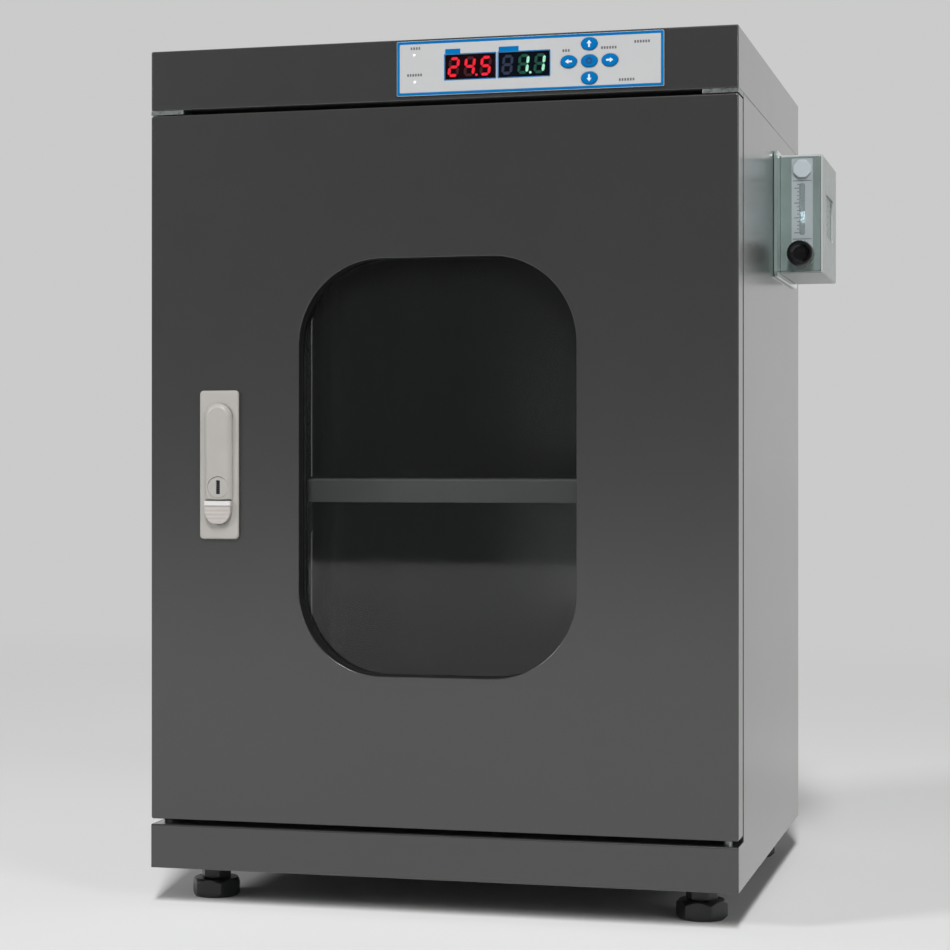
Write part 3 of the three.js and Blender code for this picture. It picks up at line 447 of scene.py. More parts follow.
def surface(color, roughness, metallic=0.0, specular=0.5, clouds=(7, 0.06), grain=(900, 0.03), spread=0.05,
            edge_wear_and_highlight=None, wear_and_highlight=0.5, coat=0.0, glow=0.0):
    """A solid finish: cloudy colour, fine bump, uneven roughness, edges lightened to a second colour as wear
    and painted edge highlight, and an optional painted glow.

    Colours are 0 to 255 sRGB. Clouds are a scale and a share of the colour, grain a scale and a height in mm.
    """
    material = bpy.data.materials.new("surface")
    graph = Graph(material)
    where = graph.place()
    color = linear(*color)
    cloud_scale, shift = clouds
    grain_scale, bump = grain
    cloud = graph.noise(where, cloud_scale, detail=4.0, roughness=0.6)
    base = graph.scaled(color, graph.spread(cloud, 1 - shift, 1 + shift))
    patchy = graph.noise(where, cloud_scale * 6, detail=3.0)
    rough = graph.spread(patchy, roughness - spread, roughness + spread)
    # Edges are tinted lighter in noisy patches: part wear, part painted edge highlight.
    if edge_wear_and_highlight:
        patches = graph.span(graph.noise(where, 180, detail=3.0), 0.4, 0.65, 0.35, 1.0)
        mask = graph.math("MULTIPLY", graph.edges(0.6 * MM), graph.math("MULTIPLY", patches, wear_and_highlight))
        base = graph.blended(mask, base, linear(*edge_wear_and_highlight))
    # A glow above zero makes the finish shine by itself: painted light on anything that is no lamp.
    graph.show(graph.shader(
        "BsdfPrincipled", Base_Color=base, Roughness=rough, Metallic=metallic,
        Normal=graph.bumped(graph.noise(where, grain_scale), bump * MM),
        Specular_IOR_Level=specular, Coat_Weight=coat, Coat_Roughness=roughness * 0.8, Coat_IOR=1.6,
        Emission_Color=color, Emission_Strength=glow,
    ))
    return material


def once_fresnel(graph, ior, strength):
    """Mirror share of a clear sheet, counted on the side that faces the viewer."""
    share = graph.add("Fresnel", {"IOR": ior}).outputs[0]
    behind = graph.add("NewGeometry").outputs["Backfacing"]
    facing = graph.math("SUBTRACT", 1.0, behind)
    return graph.math("MULTIPLY", graph.math("MULTIPLY", share, strength), facing)


def clear_sheet(tint, body, body_share, roughness, mirror=1.0):
    """A clear solid that lets tinted light straight through, with a milky body colour and a reflection."""
    material = bpy.data.materials.new("clear_sheet")
    graph = Graph(material)
    where = graph.place()
    cloud = graph.noise(where, 30, detail=3.0)
    rough = graph.spread(cloud, roughness * 0.6, roughness * 1.4)
    milk = graph.scaled(linear(*body), graph.spread(cloud, 0.94, 1.06))
    ripple = graph.bumped(graph.noise(where, 60), 0.003 * MM)
    through = graph.shader("BsdfTransparent", Color=(*tint, 1))
    inside = graph.shader("BsdfDiffuse", Color=milk)
    gloss = graph.shader("BsdfGlossy", Color=(1, 1, 1, 1), Roughness=rough, Normal=ripple)
    solid = graph.mixed(body_share, through, inside)
    graph.show(graph.mixed(once_fresnel(graph, 1.5, mirror), solid, gloss))
    return material


def lit_segment(color, strength):
    """A glowing segment, a little dimmer in places; its colour is linear light."""
    material = bpy.data.materials.new("lit_segment")
    graph = Graph(material)
    uneven = graph.spread(graph.noise(graph.place(), 700), 0.75, 1.1)
    glow = graph.shader("Emission", Color=(*color, 1), Strength=graph.math("MULTIPLY", uneven, strength))
    gloss = graph.shader("BsdfGlossy", Color=(1, 1, 1, 1), Roughness=0.2)
    graph.show(graph.mixed(0.03, glow, gloss))
    return material


def unlit_segment(*color):
    return surface(color, 0.3, clouds=(200, 0.1), grain=(900, 0.004))


# ---- materials

def cabinet_paint():
    return surface((43, 44, 43), 0.26, clouds=(5, 0.03), grain=(1500, 0.006), spread=0.01,
                   edge_wear_and_highlight=(92, 95, 93), coat=0.8)


# This paint is made lighter than the outside paint to make up for the dimmer light inside the cabinet:
# painted light.
def inner_paint():
    return surface((72, 73, 72), 0.5, specular=0.3, clouds=(6, 0.05), grain=(1300, 0.006),
                   edge_wear_and_highlight=(100, 102, 101), wear_and_highlight=0.35)


def zinc_plate():
    return surface((150, 156, 154), 0.32, metallic=0.9, clouds=(60, 0.1), grain=(700, 0.01), spread=0.08,
                   edge_wear_and_highlight=(205, 210, 208))


def cast_zinc():
    return surface((160, 157, 153), 0.42, clouds=(40, 0.03), grain=(1800, 0.012),
                   edge_wear_and_highlight=(222, 221, 214), wear_and_highlight=0.45)


def button_finish():
    return surface((170, 164, 161), 0.4, clouds=(60, 0.03), grain=(1500, 0.012),
                   edge_wear_and_highlight=(238, 235, 232), wear_and_highlight=0.4)


# A lighter copy of the button's finish for the lip on its top: a painted highlight where light catches the
# slope.
def button_lip_painted_highlight():
    return surface((192, 190, 189), 0.34, clouds=(60, 0.03), grain=(1500, 0.01),
                   edge_wear_and_highlight=(240, 239, 238), wear_and_highlight=0.4)


def rubber():
    return surface((20, 20, 20), 0.65, specular=0.25, clouds=(20, 0.15), grain=(1400, 0.04),
                   edge_wear_and_highlight=(38, 38, 38), wear_and_highlight=0.3)


def black_plastic():
    return surface((27, 28, 30), 0.36, clouds=(20, 0.12), grain=(1200, 0.02), edge_wear_and_highlight=(62, 63, 66))


def window_glass():
    return clear_sheet((0.9, 0.91, 0.905), (118, 121, 121), 0.018, 0.03, mirror=0.76)


def clear_acrylic():
    return clear_sheet((0.76, 0.84, 0.83), (166, 183, 179), 0.47, 0.12, mirror=1.6)


def clear_tube():
    return clear_sheet((0.86, 0.9, 0.9), (205, 214, 216), 0.35, 0.1)


def meter_grey():
    return surface((172, 177, 175), 0.36, clouds=(25, 0.03), grain=(1400, 0.01),
                   edge_wear_and_highlight=(214, 218, 216), wear_and_highlight=0.4)


# A pale tone for the pane behind the meter cover's slot, standing in for light seen through the slot: painted
# light.
def slot_pane_painted_light():
    return surface((134, 146, 142), 0.3, clouds=(60, 0.04), grain=(1400, 0.006))


def scale_frost():
    return clear_sheet((0.8, 0.85, 0.86), (176, 184, 188), 0.85, 0.2, mirror=1.5)


def scale_sight():
    return clear_sheet((0.9, 0.92, 0.93), (168, 174, 180), 0.35, 0.2, mirror=1.2)


def scale_ink():
    return surface((96, 100, 104), 0.5, clouds=(300, 0.2), grain=(2000, 0.004))


def plug_finish():
    return surface((184, 194, 199), 0.34, clouds=(80, 0.03), grain=(1400, 0.01),
                   edge_wear_and_highlight=(228, 234, 236), wear_and_highlight=0.4)


# The float's finish glows by emission though it is no lamp: a painted highlight.
def float_painted_glow():
    return surface((238, 242, 250), 0.3, clouds=(300, 0.04), grain=(900, 0.002), glow=5.0)


def knob_gloss():
    return surface((9, 9, 12), 0.22, clouds=(60, 0.1), grain=(1200, 0.004), edge_wear_and_highlight=(40, 41, 46), wear_and_highlight=0.4)


def overlay_face():
    return surface((174, 175, 176), 0.42, specular=0.4, clouds=(15, 0.015), grain=(2200, 0.008),
                   edge_wear_and_highlight=(222, 222, 222), wear_and_highlight=0.3)


def key_blue():
    return surface((0, 99, 160), 0.5, specular=0.05, clouds=(40, 0.04), grain=(2000, 0.008),
                   edge_wear_and_highlight=(70, 160, 215), wear_and_highlight=0.3)


def caption_ink():
    return surface((92, 90, 94), 0.5, clouds=(300, 0.2), grain=(2000, 0.004))


def white_ink():
    return surface((196, 212, 226), 0.45, clouds=(200, 0.03), grain=(2000, 0.004))


def dark_ink():
    return surface((14, 44, 92), 0.45, clouds=(200, 0.05), grain=(2000, 0.004))


def lamp_lens():
    return surface((240, 240, 240), 0.15, clouds=(300, 0.03), grain=(900, 0.004))


def display_red():
    return surface((18, 3, 6), 0.18, specular=0.2, clouds=(60, 0.1), grain=(1500, 0.002))


def display_green():
    return surface((5, 9, 18), 0.18, specular=0.2, clouds=(60, 0.1), grain=(1500, 0.002))


def lit_red():
    return lit_segment((0.95, 0.02, 0.045), 1.1)


def lit_green():
    return lit_segment((0.42, 0.95, 0.66), 0.95)


def unlit_red():
    return unlit_segment(52, 8, 13)


def unlit_blue():
    return unlit_segment(34, 42, 62)


def unlit_green():
    return unlit_segment(12, 66, 50)


def circuit_board():
    return surface((24, 84, 48), 0.42, clouds=(90, 0.25), grain=(500, 0.02))


def make_looks(*makers):
    """One material from each maker, named after it."""
    looks = {}
    for maker in makers:
        looks[maker.__name__] = maker()
        looks[maker.__name__].name = maker.__name__
    return looks


LOOKS = make_looks(
    cabinet_paint, inner_paint, zinc_plate, cast_zinc, button_finish, button_lip_painted_highlight, rubber, black_plastic,
    window_glass, clear_acrylic, clear_tube, meter_grey, slot_pane_painted_light, scale_frost, scale_sight, scale_ink,
    plug_finish, float_painted_glow, knob_gloss, overlay_face, key_blue, caption_ink, white_ink, dark_ink,
    lamp_lens, display_red, display_green, lit_red, lit_green, unlit_red, unlit_blue, unlit_green,
    circuit_board,
)


def dressed(made, body, slot, *nodes, look=None, sharp=32):
    """Gives a new piece its finish, shading and body, and hides the CAD nodes it stands for."""
    made.data.materials.clear()
    made.data.materials.append(LOOKS[look or slot])
    made.data.shade_smooth()
    made.data.set_sharp_from_angle(angle=math.radians(sharp))
    weighted = made.modifiers.new("normals", "WEIGHTED_NORMAL")
    weighted.keep_sharp = True
    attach(made, body)
    if nodes:
        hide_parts(*nodes)


def kept(node, slot, bevel=0.3 * MM):
    """Keeps a CAD node's shape, with softened edges and a finish."""
    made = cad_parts[node]
    made.data.materials.clear()
    made.data.materials.append(LOOKS[slot])
    made.modifiers.new("weld", "WELD").merge_threshold = 1e-6
    if bevel:
        soft = made.modifiers.new("soft", "BEVEL")
        soft.width = bevel
        soft.segments = 2
        soft.limit_method = "ANGLE"
        soft.angle_limit = math.radians(38)


# ---- cabinet

def tube_places():
    """Where the supply and the purge tube pass the side wall, in y and z."""
    rear = Span("meter_wall_plate").rear
    supply_z = Span("supply_tube").bottom + TUBE["radius"]
    return (rear - SUPPLY_FROM_REAR, supply_z), (rear - PURGE_FROM_REAR, Span("purge_tube").z)


def tube_holes():
    return [circle(y, z, TUBE["hole"], 24) for y, z in tube_places()]


def side_panel(name, holes=()):
    span = Span(name)
    flange_front = Span("front_frame").front
    step = Span("plinth_front").top
    outline = [(span.front, span.bottom), (span.rear, span.bottom), (span.rear, span.top),
               (flange_front, span.top), (flange_front, step), (span.front, step)]
    made = plate(name + "_skin", [outline, *holes], "x", span.left, span.right)
    dressed(made, "cabinet", "cabinet_paint", name)


def plinth():
    """A folded front with a ledge behind its top edge, clear of the side panels and the door's lower pin."""
    span = Span("plinth_front")
    ledge_gap = 1.8 * MM
    inner = span.front + SHEET
    under = span.top - SHEET
    face = [(span.front, span.bottom), (inner, span.bottom), (inner, under), (span.rear, under),
            (span.rear, span.top)]
    face += arc(span.front + FOLD, span.top - FOLD, FOLD, 90, 180, 4)
    made = plate("plinth_skin", [face], "x", span.left, span.right, 0.3 * MM)
    tools = []
    for x in (span.left, span.right):
        low = (x - ledge_gap, inner + 0.3 * MM, span.top - 3 * SHEET)
        high = (x + ledge_gap, span.rear + SHEET, span.top + SHEET)
        tools.append(block("corner", low, high, 0.1 * MM))
    pin = Span("hinge_bush_lower")
    tools.append(bore(3.3 * MM, -4 * MM, 4 * MM, (pin.x, pin.y, span.top)))
    dressed(carved(made, *tools), "cabinet", "cabinet_paint", "plinth_front")


def panel_openings(room):
    """Outlines around the displays and the keys, as seen from the front."""
    openings = [Span(node).outline("y", -room, EDGE, 2) for node in DISPLAYS]
    for name in KEYS:
        cap = Span("key_" + name)
        openings.append(oval(cap.x, cap.z, cap.width + 2 * room, cap.height + 2 * room))
    return openings


def rear_openings(span):
    """Outlines of the gas inlet, the mains socket and the vents in the header's rear face."""
    gas = Span("gas_inlet")
    socket = Span("power_inlet")
    openings = [circle(gas.x, gas.z, 6.3 * MM), around(socket.x, socket.z, 26 * MM, 20 * MM, MM, 2)]
    for column in range(VENTS["columns"]):
        x = span.x + (column - (VENTS["columns"] - 1) / 2) * VENTS["pitch"]
        for row in range(VENTS["rows"]):
            z = span.z + (row - (VENTS["rows"] - 1) / 2) * VENTS["rise"]
            openings.append(around(x, z, VENTS["length"], VENTS["width"], VENTS["width"] / 2.01, 3))
    return openings


def header():
    span = Span("header_shell")
    front, rear = span.front, span.rear
    made = folded_tray("header_skin", "header_shell", "z", FOLD, SHEET, EDGE)
    tools = [punch(loop, "y", front - SHEET, front + 2 * SHEET) for loop in panel_openings(0.3 * MM)]
    tools += [punch(loop, "y", rear - 2 * SHEET, rear + SHEET) for loop in rear_openings(span)]
    dressed(carved(made, merged("tools", tools)), "cabinet", "cabinet_paint", "header_shell")


def screw_head(place):
    """A round head on a rear face, with a six-sided socket."""
    radius = SCREW["radius"]
    height = radius * 0.62
    profile = [(radius, -0.4 * MM), (radius, 0.25 * height)]
    for turn in (math.radians(18 * i) for i in range(1, 4)):
        profile.append((radius * math.cos(turn), height * (0.25 + 0.75 * math.sin(turn))))
    profile += [(radius * 0.48, height), (radius * 0.44, height * 0.97), (radius * 0.42, height * 0.4)]

    def six_sided(reach, turn):
        if reach > radius * 0.46:
            return reach
        return reach * math.cos(math.pi / 6) / math.cos((turn % (math.pi / 3)) - math.pi / 6)

    return spun("head", profile, place, "y", 36, six_sided)


def rear_screws():
    span = Span("rear_panel")
    inset = SCREW["inset"]
    rows = SCREW["rows"]
    heads = []
    for x in (span.left + inset, span.right - inset):
        for row in range(rows):
            z = span.bottom + inset + (span.height - 2 * inset) * row / (rows - 1)
            heads.append(screw_head((x, span.rear, z)))
    dressed(merged("rear_screws", heads), "cabinet", "zinc_plate")


def cabinet():
    side_panel("side_panel_left")
    side_panel("side_panel_right", tube_holes())
    plinth()
    header()
    rear_screws()
    for node in ("rear_panel", "base_pan"):
        kept(node, "cabinet_paint")
    for node in ("chamber_floor", "front_frame", "header_floor"):
        kept(node, "inner_paint")
    for node in ("hinge_plate_upper", "hinge_plate_lower", "corner_plate_upper"):
        kept(node, "zinc_plate", 0.25 * MM)


# ---- door

def window_loop(grow, steps=20):
    """The window's outline, grown outwards."""
    return Span("window_gasket").outline("y", SEAL_LIP - grow, WINDOW_RADIUS + grow, steps)


def door_skin():
    """A pan of folded sheet with a softly turned window edge."""
    span = Span("door_panel")
    corner = 1.6 * MM
    steps = 20
    inner_face = span.front + SHEET
    window_lip = 0.5 * MM

    def ring(inset, y):
        return at("y", span.outline("y", inset, max(corner - inset, LEAST_CORNER), steps), y)

    rings = [at("y", window_loop(0), inner_face)]
    for inset, drop in reversed(fold_steps(window_lip, 3)):
        rings.append(at("y", window_loop(inset), span.front + drop))
    rings += [ring(inset, span.front + drop) for inset, drop in fold_steps(FOLD, 5)]
    rings += [ring(0, span.rear - EDGE), ring(EDGE, span.rear), ring(SHEET - EDGE, span.rear)]
    rings += [ring(SHEET, span.rear - EDGE), ring(SHEET, inner_face)]
    made = loft("door_skin", rings, closed=True)
    latch = Span("latch_housing")
    hole = around(latch.x, latch.z, latch.width - 4 * MM, latch.height - 6 * MM, MM, 2)
    tools = [punch(hole, "y", span.front - SHEET, span.front + 2 * SHEET)]
    pins = (("hinge_bush_upper", span.top, 4.3 * MM), ("hinge_bush_lower", span.bottom, 3.3 * MM))
    for bush, z, radius in pins:
        pin = Span(bush)
        tools.append(bore(radius, -2 * SHEET, 2 * SHEET, (pin.x, pin.y, z)))
    dressed(carved(made, *tools), "door", "cabinet_paint", "door_panel")


def door_seal():
    """A ring of rubber with two raised lips and a valley between them."""
    span = Span("door_gasket")
    half = [(0.0, 0.0), (0.7, 0.28), (0.1, 0.5), (0.5, 0.85), (1.6, 1.0), (4.4, 1.0), (5.0, 0.86)]
    other_half = [(7.0, 0.86), (7.6, 1.0), (10.4, 1.0), (11.5, 0.85), (11.9, 0.5), (11.3, 0.28), (12.0, 0.0)]
    rings = []
    for across, share in half + other_half:
        inset = across * MM
        outline = span.outline("y", inset, DOOR_SEAL_CORNER - inset, 8)
        rings.append(at("y", outline, span.front + share * span.depth))
    dressed(loft("door_seal", rings, closed=True), "door", "rubber", "door_gasket", sharp=50)


def window_seal():
    """A ring of rubber in the window's edge, with a groove for the glass and a shallow rib in front of it."""
    span = Span("window_gasket")
    glass = Span("window_glass")
    room = 0.3 * MM
    bite = GLASS_BITE + room
    soft = 0.6 * MM
    front, rear = span.front, span.rear
    mouth_front, mouth_rear = glass.front - room, glass.rear + room
    rib = [(0.3 * MM, front), (0.0, front + 0.5 * MM), (0.0, front + 3 * MM), (0.5 * MM, front + 4 * MM),
           (0.0, front + 5 * MM)]
    groove = [(0.0, glass.front - 2 * soft), (soft, mouth_front), (bite, mouth_front),
              (bite, mouth_rear), (soft, mouth_rear), (0.0, glass.rear + 2 * soft)]
    back = [(0.0, rear - soft), (soft, rear), (SEAL_LIP - soft, rear), (SEAL_LIP, rear - soft),
            (SEAL_LIP, front + EDGE), (SEAL_LIP - EDGE, front)]
    rings = [at("y", window_loop(grow), y) for grow, y in rib + groove + back]
    dressed(loft("window_seal", rings, closed=True), "door", "rubber", "window_gasket", sharp=50)


def door():
    door_skin()
    door_seal()
    window_seal()
    kept("door_liner", "inner_paint")
    kept("window_glass", "window_glass", 0)
    for node in ("hinge_bush_upper", "hinge_bush_lower"):
        kept(node, "black_plastic")


# ---- latch

def button_loop(grow):
    span = Span("latch_button")
    radius = span.width / 2 + grow
    level = span.bottom + span.width / 2
    top = [(span.x + radius, span.top + grow), (span.x - radius, span.top + grow)]
    return top + arc(span.x, level, radius, 180, 360, 18)


def lever_centre():
    """The spindle's axis in x and z."""
    span = Span("latch_spindle")
    return span.x, span.z


def latch_plate():
    """A face plate with a body behind it, hollowed for the works and open for the lever and the button."""
    span = Span("latch_housing")
    door_front = Span("door_panel").front
    x, z = lever_centre()
    wall = 2.9 * MM
    inner = 4.9 * MM
    outline = span.outline("y", 0.0, 3.0 * MM, 6)
    face = plate("latch_plate", [outline], "y", span.front, door_front - 0.1 * MM, 1.35 * MM, 5)
    body = block("body", (span.left + wall, door_front - 1.3 * MM, span.bottom + 2 * wall),
                 (span.right - wall, span.rear, span.top - 2 * wall))
    hollow = block("hollow", (span.left + inner, door_front, span.bottom + 2 * inner),
                   (span.right - inner, span.rear + MM, Span("latch_button").top + 2 * MM), 0.1 * MM)
    pocket = bore(POCKET_RADIUS, span.front - MM, door_front + 1.5 * MM, (x, 0, z), "y", 64)
    spindle = bore(5.3 * MM, door_front, span.rear + MM, (x, 0, z), "y")
    opening = plate("opening", [button_loop(0.3 * MM)], "y", span.front - MM, door_front + MM, 0.1 * MM)
    made = carved(united(face, body), hollow, pocket, spindle, opening)
    dressed(made, "door", "cast_zinc", "latch_housing")


def lever():
    """A long lever with a round top and a low crown, which leans back towards its foot."""
    span = Span("latch_lever")
    plug = Span("latch_key_plug")
    spindle = Span("latch_spindle")
    x, z = lever_centre()
    half = span.width / 2
    length = z - span.bottom
    thick = span.rear - span.front

    def ring(inset, drop):
        """The outline drawn in by an inset, by less at its foot; drop is its share of the way to the rear."""
        foot = length - 0.25 * inset
        spread = math.degrees(math.asin((half - inset) / foot))
        outline = arc(x, z, half - inset, 0, 180, 32) + arc(x, z, foot, 270 - spread, 270 + spread, 10)
        lean = (1.0 - drop) * LEVER_LEAN / length
        return [(u, span.front + drop * thick + lean * max(z - v, 0.0), v) for u, v in outline]

    crown = ((0.0, 1.0), (0.0, 0.72), (0.25, 0.6), (0.8, 0.44), (1.6, 0.25), (2.4, 0.11), (3.2, 0.03),
             (4.0, 0.0))
    made = loft("lever_plate", [ring(inset * MM, drop) for inset, drop in crown])
    hole = circle(plug.x, plug.z, plug.width / 2 + 0.12 * MM, 48)
    made = carved(made, plate("hole", [hole], "y", span.front - MM, span.rear + 3 * MM, 0.02 * MM, 0))
    slot = block("slot", (x - 3.1 * MM, spindle.front - 0.3 * MM, z - 3.8 * MM),
                 (x + 3.1 * MM, span.rear + MM, z + 3.8 * MM), 0.1 * MM)
    dressed(carved(made, slot), "latch_lever", "cast_zinc", "latch_lever")


def key_plug():
    """A plug flush with the lever's face, and the wafers that show in its slot, in black so the keyway reads
    dark as painted shade.
    """
    span = Span("latch_key_plug")
    z = Span("latch_spindle").z
    front = span.front + LEVER_LEAN * (z - span.z) / (z - Span("latch_lever").bottom)
    slot = around(span.x, span.z, 3.0 * MM, 10.5 * MM, 0.5 * MM, 2)
    rim = circle(span.x, span.z, span.width / 2, 48)
    made = plate("key_plug", [rim, slot], "y", front, span.rear, 0.4 * MM, 3)
    dressed(made, "latch_key_plug", "cast_zinc", "latch_key_plug")
    # The wafers are black so the keyway looks dark: painted shade.
    wafers = []
    for i in range(WAFER["count"]):
        low_z = span.z + (i - WAFER["count"] / 2) * WAFER["pitch"]
        low = (span.x - WAFER["half_width"], front + WAFER["depth"], low_z)
        high = (span.x + WAFER["half_width"], span.rear - 0.5 * MM, low_z + WAFER["thick"])
        wafers.append(block("wafer", low, high, 0.1 * MM))
    dressed(merged("key_wafers_painted_shade", wafers), "latch_key_plug", "black_plastic")


def thumb_button():
    """A D-shaped button stacked from slices, with shallow ribs and a round bottom, and a lip above in a
    lighter finish that paints its highlight.
    """
    span = Span("latch_button")
    radius = span.width / 2
    level = span.bottom + radius
    start = span.bottom + 0.15 * MM
    lip_bottom = span.top - LIP_HEIGHT
    nose = 1.5 * MM
    ribs_start = 2.2 * MM
    slices = 52
    edge = 0.8 * MM

    def ring(z, front):
        below = max(level - z, 0.0)
        half = math.sqrt(max(radius ** 2 - below ** 2, (0.5 * MM) ** 2))
        points = [(span.x - half, span.rear, z)]
        points += [(span.x + u, y, z) for u, y in arc(-half + edge, front + edge, edge, 180, 270, 4)]
        points += [(span.x + u, y, z) for u, y in arc(half - edge, front + edge, edge, 270, 360, 4)]
        return points + [(span.x + half, span.rear, z)]

    rings = []
    for i in range(slices + 1):
        z = start + (lip_bottom - start) * i / slices
        front = span.front
        if z > span.bottom + ribs_start:
            front += RIB_DEPTH * (1 - math.cos(2 * math.pi * (lip_bottom - z) / RIB_PITCH))
        if z < span.bottom + nose:
            front += 0.9 * MM * (1 - (z - span.bottom) / nose) ** 2
        rings.append(ring(z, front))
    dressed(loft("thumb_button", rings), "latch_button", "button_finish", "latch_button", sharp=40)
    # The lip is a lighter copy of the button's finish: a painted highlight.
    slope = ((0.0, -0.5), (0.08, -0.6), (0.16, -0.55), (1.0, 0.25))
    rings = [ring(lip_bottom + share * LIP_HEIGHT, span.front + reach * MM) for share, reach in slope]
    dressed(loft("button_lip_painted_highlight", rings), "latch_button", "button_finish", look="button_lip_painted_highlight", sharp=40)


def latch():
    latch_plate()
    lever()
    key_plug()
    thumb_button()
    for node in ("latch_spindle", "latch_cam"):
        kept(node, "zinc_plate", 0.25 * MM)


# ---- control header

def printed(name, loops, low, high, bevel=0.02 * MM):
    """A thin layer of ink."""
    return plate(name, loops, "y", low, high, bevel, 0)


def digit_bars(x, z, width, height):
    """Seven pointed bars of one digit, by letter, slanted to the right."""
    gap = 0.25 * MM
    half = DIGIT_BAR / 2
    w = width / 2 - half
    h = height / 2 - half

    def bar(u0, v0, u1, v1):
        along = Vector((u1 - u0, v1 - v0)).normalized()
        side = Vector((-along.y, along.x)) * half
        start = Vector((u0, v0)) + along * gap
        end = Vector((u1, v1)) - along * gap
        points = [start, start + along * half + side, end - along * half + side, end,
                  end - along * half - side, start + along * half - side]
        return [(x + p.x + DIGIT_SLANT * p.y, z + p.y) for p in points]

    return {
        "a": bar(-w, h, w, h), "b": bar(w, h, w, 0), "c": bar(w, 0, w, -h), "d": bar(-w, -h, w, -h),
        "e": bar(-w, 0, -w, -h), "f": bar(-w, h, -w, 0), "g": bar(-w, 0, w, 0),
    }


def display(node, slot, text, lit, unlit):
    """Raised bars on a display's face: the lit ones and a dot after the second digit, and the unlit ones."""
    span = Span(node)
    cell = span.width * 0.318
    width = cell * 0.68
    height = span.height * 0.8
    low = span.front - 2 * PRINT
    high = span.front + 0.05 * MM
    shown = []
    hidden = {look: [] for look in unlit}
    for index, letter in enumerate(text):
        x = span.x + (index - 1) * cell - 0.4 * MM
        for bar, loop in digit_bars(x, span.z, width, height).items():
            loops = shown if bar in DIGIT_BARS[letter] else hidden[unlit[index]]
            loops.append(loop)
        if index == 1:
            shown.append(circle(x + width / 2 + MM, span.z - height / 2 + 0.9 * MM, 0.95 * MM, 12))
    dressed(printed(node + "_lit", shown, low, high, 0.03 * MM), "cabinet", slot, look=lit)
    for look, loops in hidden.items():
        made = printed(f"{node}_{look}", loops, low + PRINT, high)
        dressed(made, "cabinet", slot, look=look)
    kept(node, slot, 0.1 * MM)


def arrow(u, v, length, turn):
    """An arrow with a broad head; turn is its direction in degrees."""
    tail, neck, tip, stem, head = -0.5, 0.02, 0.5, 0.13, 0.36
    lower = [(tail, -stem), (neck, -stem), (neck, -head)]
    shape = lower + [(tip, 0.0)] + [(a, -b) for a, b in reversed(lower)]
    cos, sin = math.cos(math.radians(turn)) * length, math.sin(math.radians(turn)) * length
    return [(u + a * cos - b * sin, v + a * sin + b * cos) for a, b in shape]


def key(name):
    """A domed oval key with an arrow on its crown, or a ring on the middle one."""
    node = "key_" + name
    span = Span(node)
    crown = 0.45 * MM
    profile = [(1.0, span.rear), (1.0, span.front + crown + 0.3 * MM)]
    for share, drop in ((0.985, 1.0), (0.94, 0.55), (0.84, 0.2), (0.7, 0.04)):
        profile.append((share, span.front + crown * drop))
    rings = []
    for share, y in profile:
        outline = oval(span.x, span.z, span.width * share, span.height * share, 48)
        rings.append(at("y", outline, y))
    dressed(loft("cap_" + name, rings), node, "key_blue", node)
    if name in ARROW_TURNS:
        loops = [arrow(span.x, span.z, 5.2 * MM, ARROW_TURNS[name])]
        slot, look = "overlay_face", "white_ink"
    else:
        loops = [circle(span.x, span.z, radius, 32) for radius in (2.3 * MM, 1.35 * MM)]
        slot, look = "black_plastic", "dark_ink"
    made = printed("mark_" + name, loops, span.front - PRINT, span.front + 0.3 * MM, 0.03 * MM)
    dressed(made, node, slot, look=look)


def overlay_film(span, room):
    outline = span.outline("y", 0.0, 1.0 * MM, 4)
    made = plate("overlay_face", [outline, *panel_openings(room)], "y", span.front, span.rear, 0.12 * MM, 1)
    dressed(made, "cabinet", "overlay_face", "control_overlay")


def overlay_blue(span, room):
    """The printed border, and a tab and a surround at each display."""
    low, high = span.front - PRINT, span.front + PRINT
    rim = 0.25 * MM
    border = [span.outline("y", rim, 0.9 * MM, 4), span.outline("y", BORDER, 0.5 * MM, 2)]
    blue = [printed("border", border, low, high)]
    for node, length in TAB_LENGTHS.items():
        opening = Span(node)
        left, top = opening.left, opening.top
        tab = rounded(left, top + SURROUND, left + length, top + TAB_HEIGHT, EDGE, 2)
        surround = [opening.outline("y", -room - SURROUND, 0.6 * MM, 2),
                    opening.outline("y", -room - CUT, EDGE, 2)]
        for loops in ([tab], surround):
            step = 0.002 * MM * (len(blue) - 1)
            blue.append(printed("tab", loops, low - step, high))
    dressed(merged("overlay_blue", blue), "cabinet", "key_blue")


def captions(span):
    blocks = []
    for left, down, length in CAPTIONS.values():
        count = round(length * MM / CAPTION_PITCH)
        z = span.top - down * MM
        for i in range(count):
            x = span.left + left * MM + (i + 0.5 - count / 2) * CAPTION_PITCH
            blocks.append(around(x, z, 0.68 * CAPTION_PITCH, CAPTION_HEIGHT, 0.3 * MM, 2))
    made = printed("overlay_captions", blocks, span.front - PRINT, span.front + PRINT)
    dressed(made, "cabinet", "meter_grey", look="caption_ink")


def status_lamps(span):
    dome = ((1.0, 0.1), (1.0, -0.1), (0.8, -0.3), (0.4, -0.4))
    profile = [(LAMP_RADIUS * share, level * MM) for share, level in dome]
    lamps = []
    for left, down in LAMPS.values():
        centre = (span.left + left * MM, span.front, span.top - down * MM)
        lamps.append(spun("lamp", profile, centre, "y", 20))
    dressed(merged("status_lamps", lamps), "cabinet", "overlay_face", look="lamp_lens")


def inlet_pins():
    span = Span("power_inlet")
    pins = []
    for u, v in ((-7, -2), (0, 3), (7, -2)):
        x, z = span.x + u * MM, span.z + v * MM
        low = (x - MM, span.rear - 14 * MM, z - 2 * MM)
        pins.append(block("pin", low, (x + MM, span.rear - 4 * MM, z + 2 * MM), 0.3 * MM))
    dressed(merged("inlet_pins", pins), "cabinet", "zinc_plate")


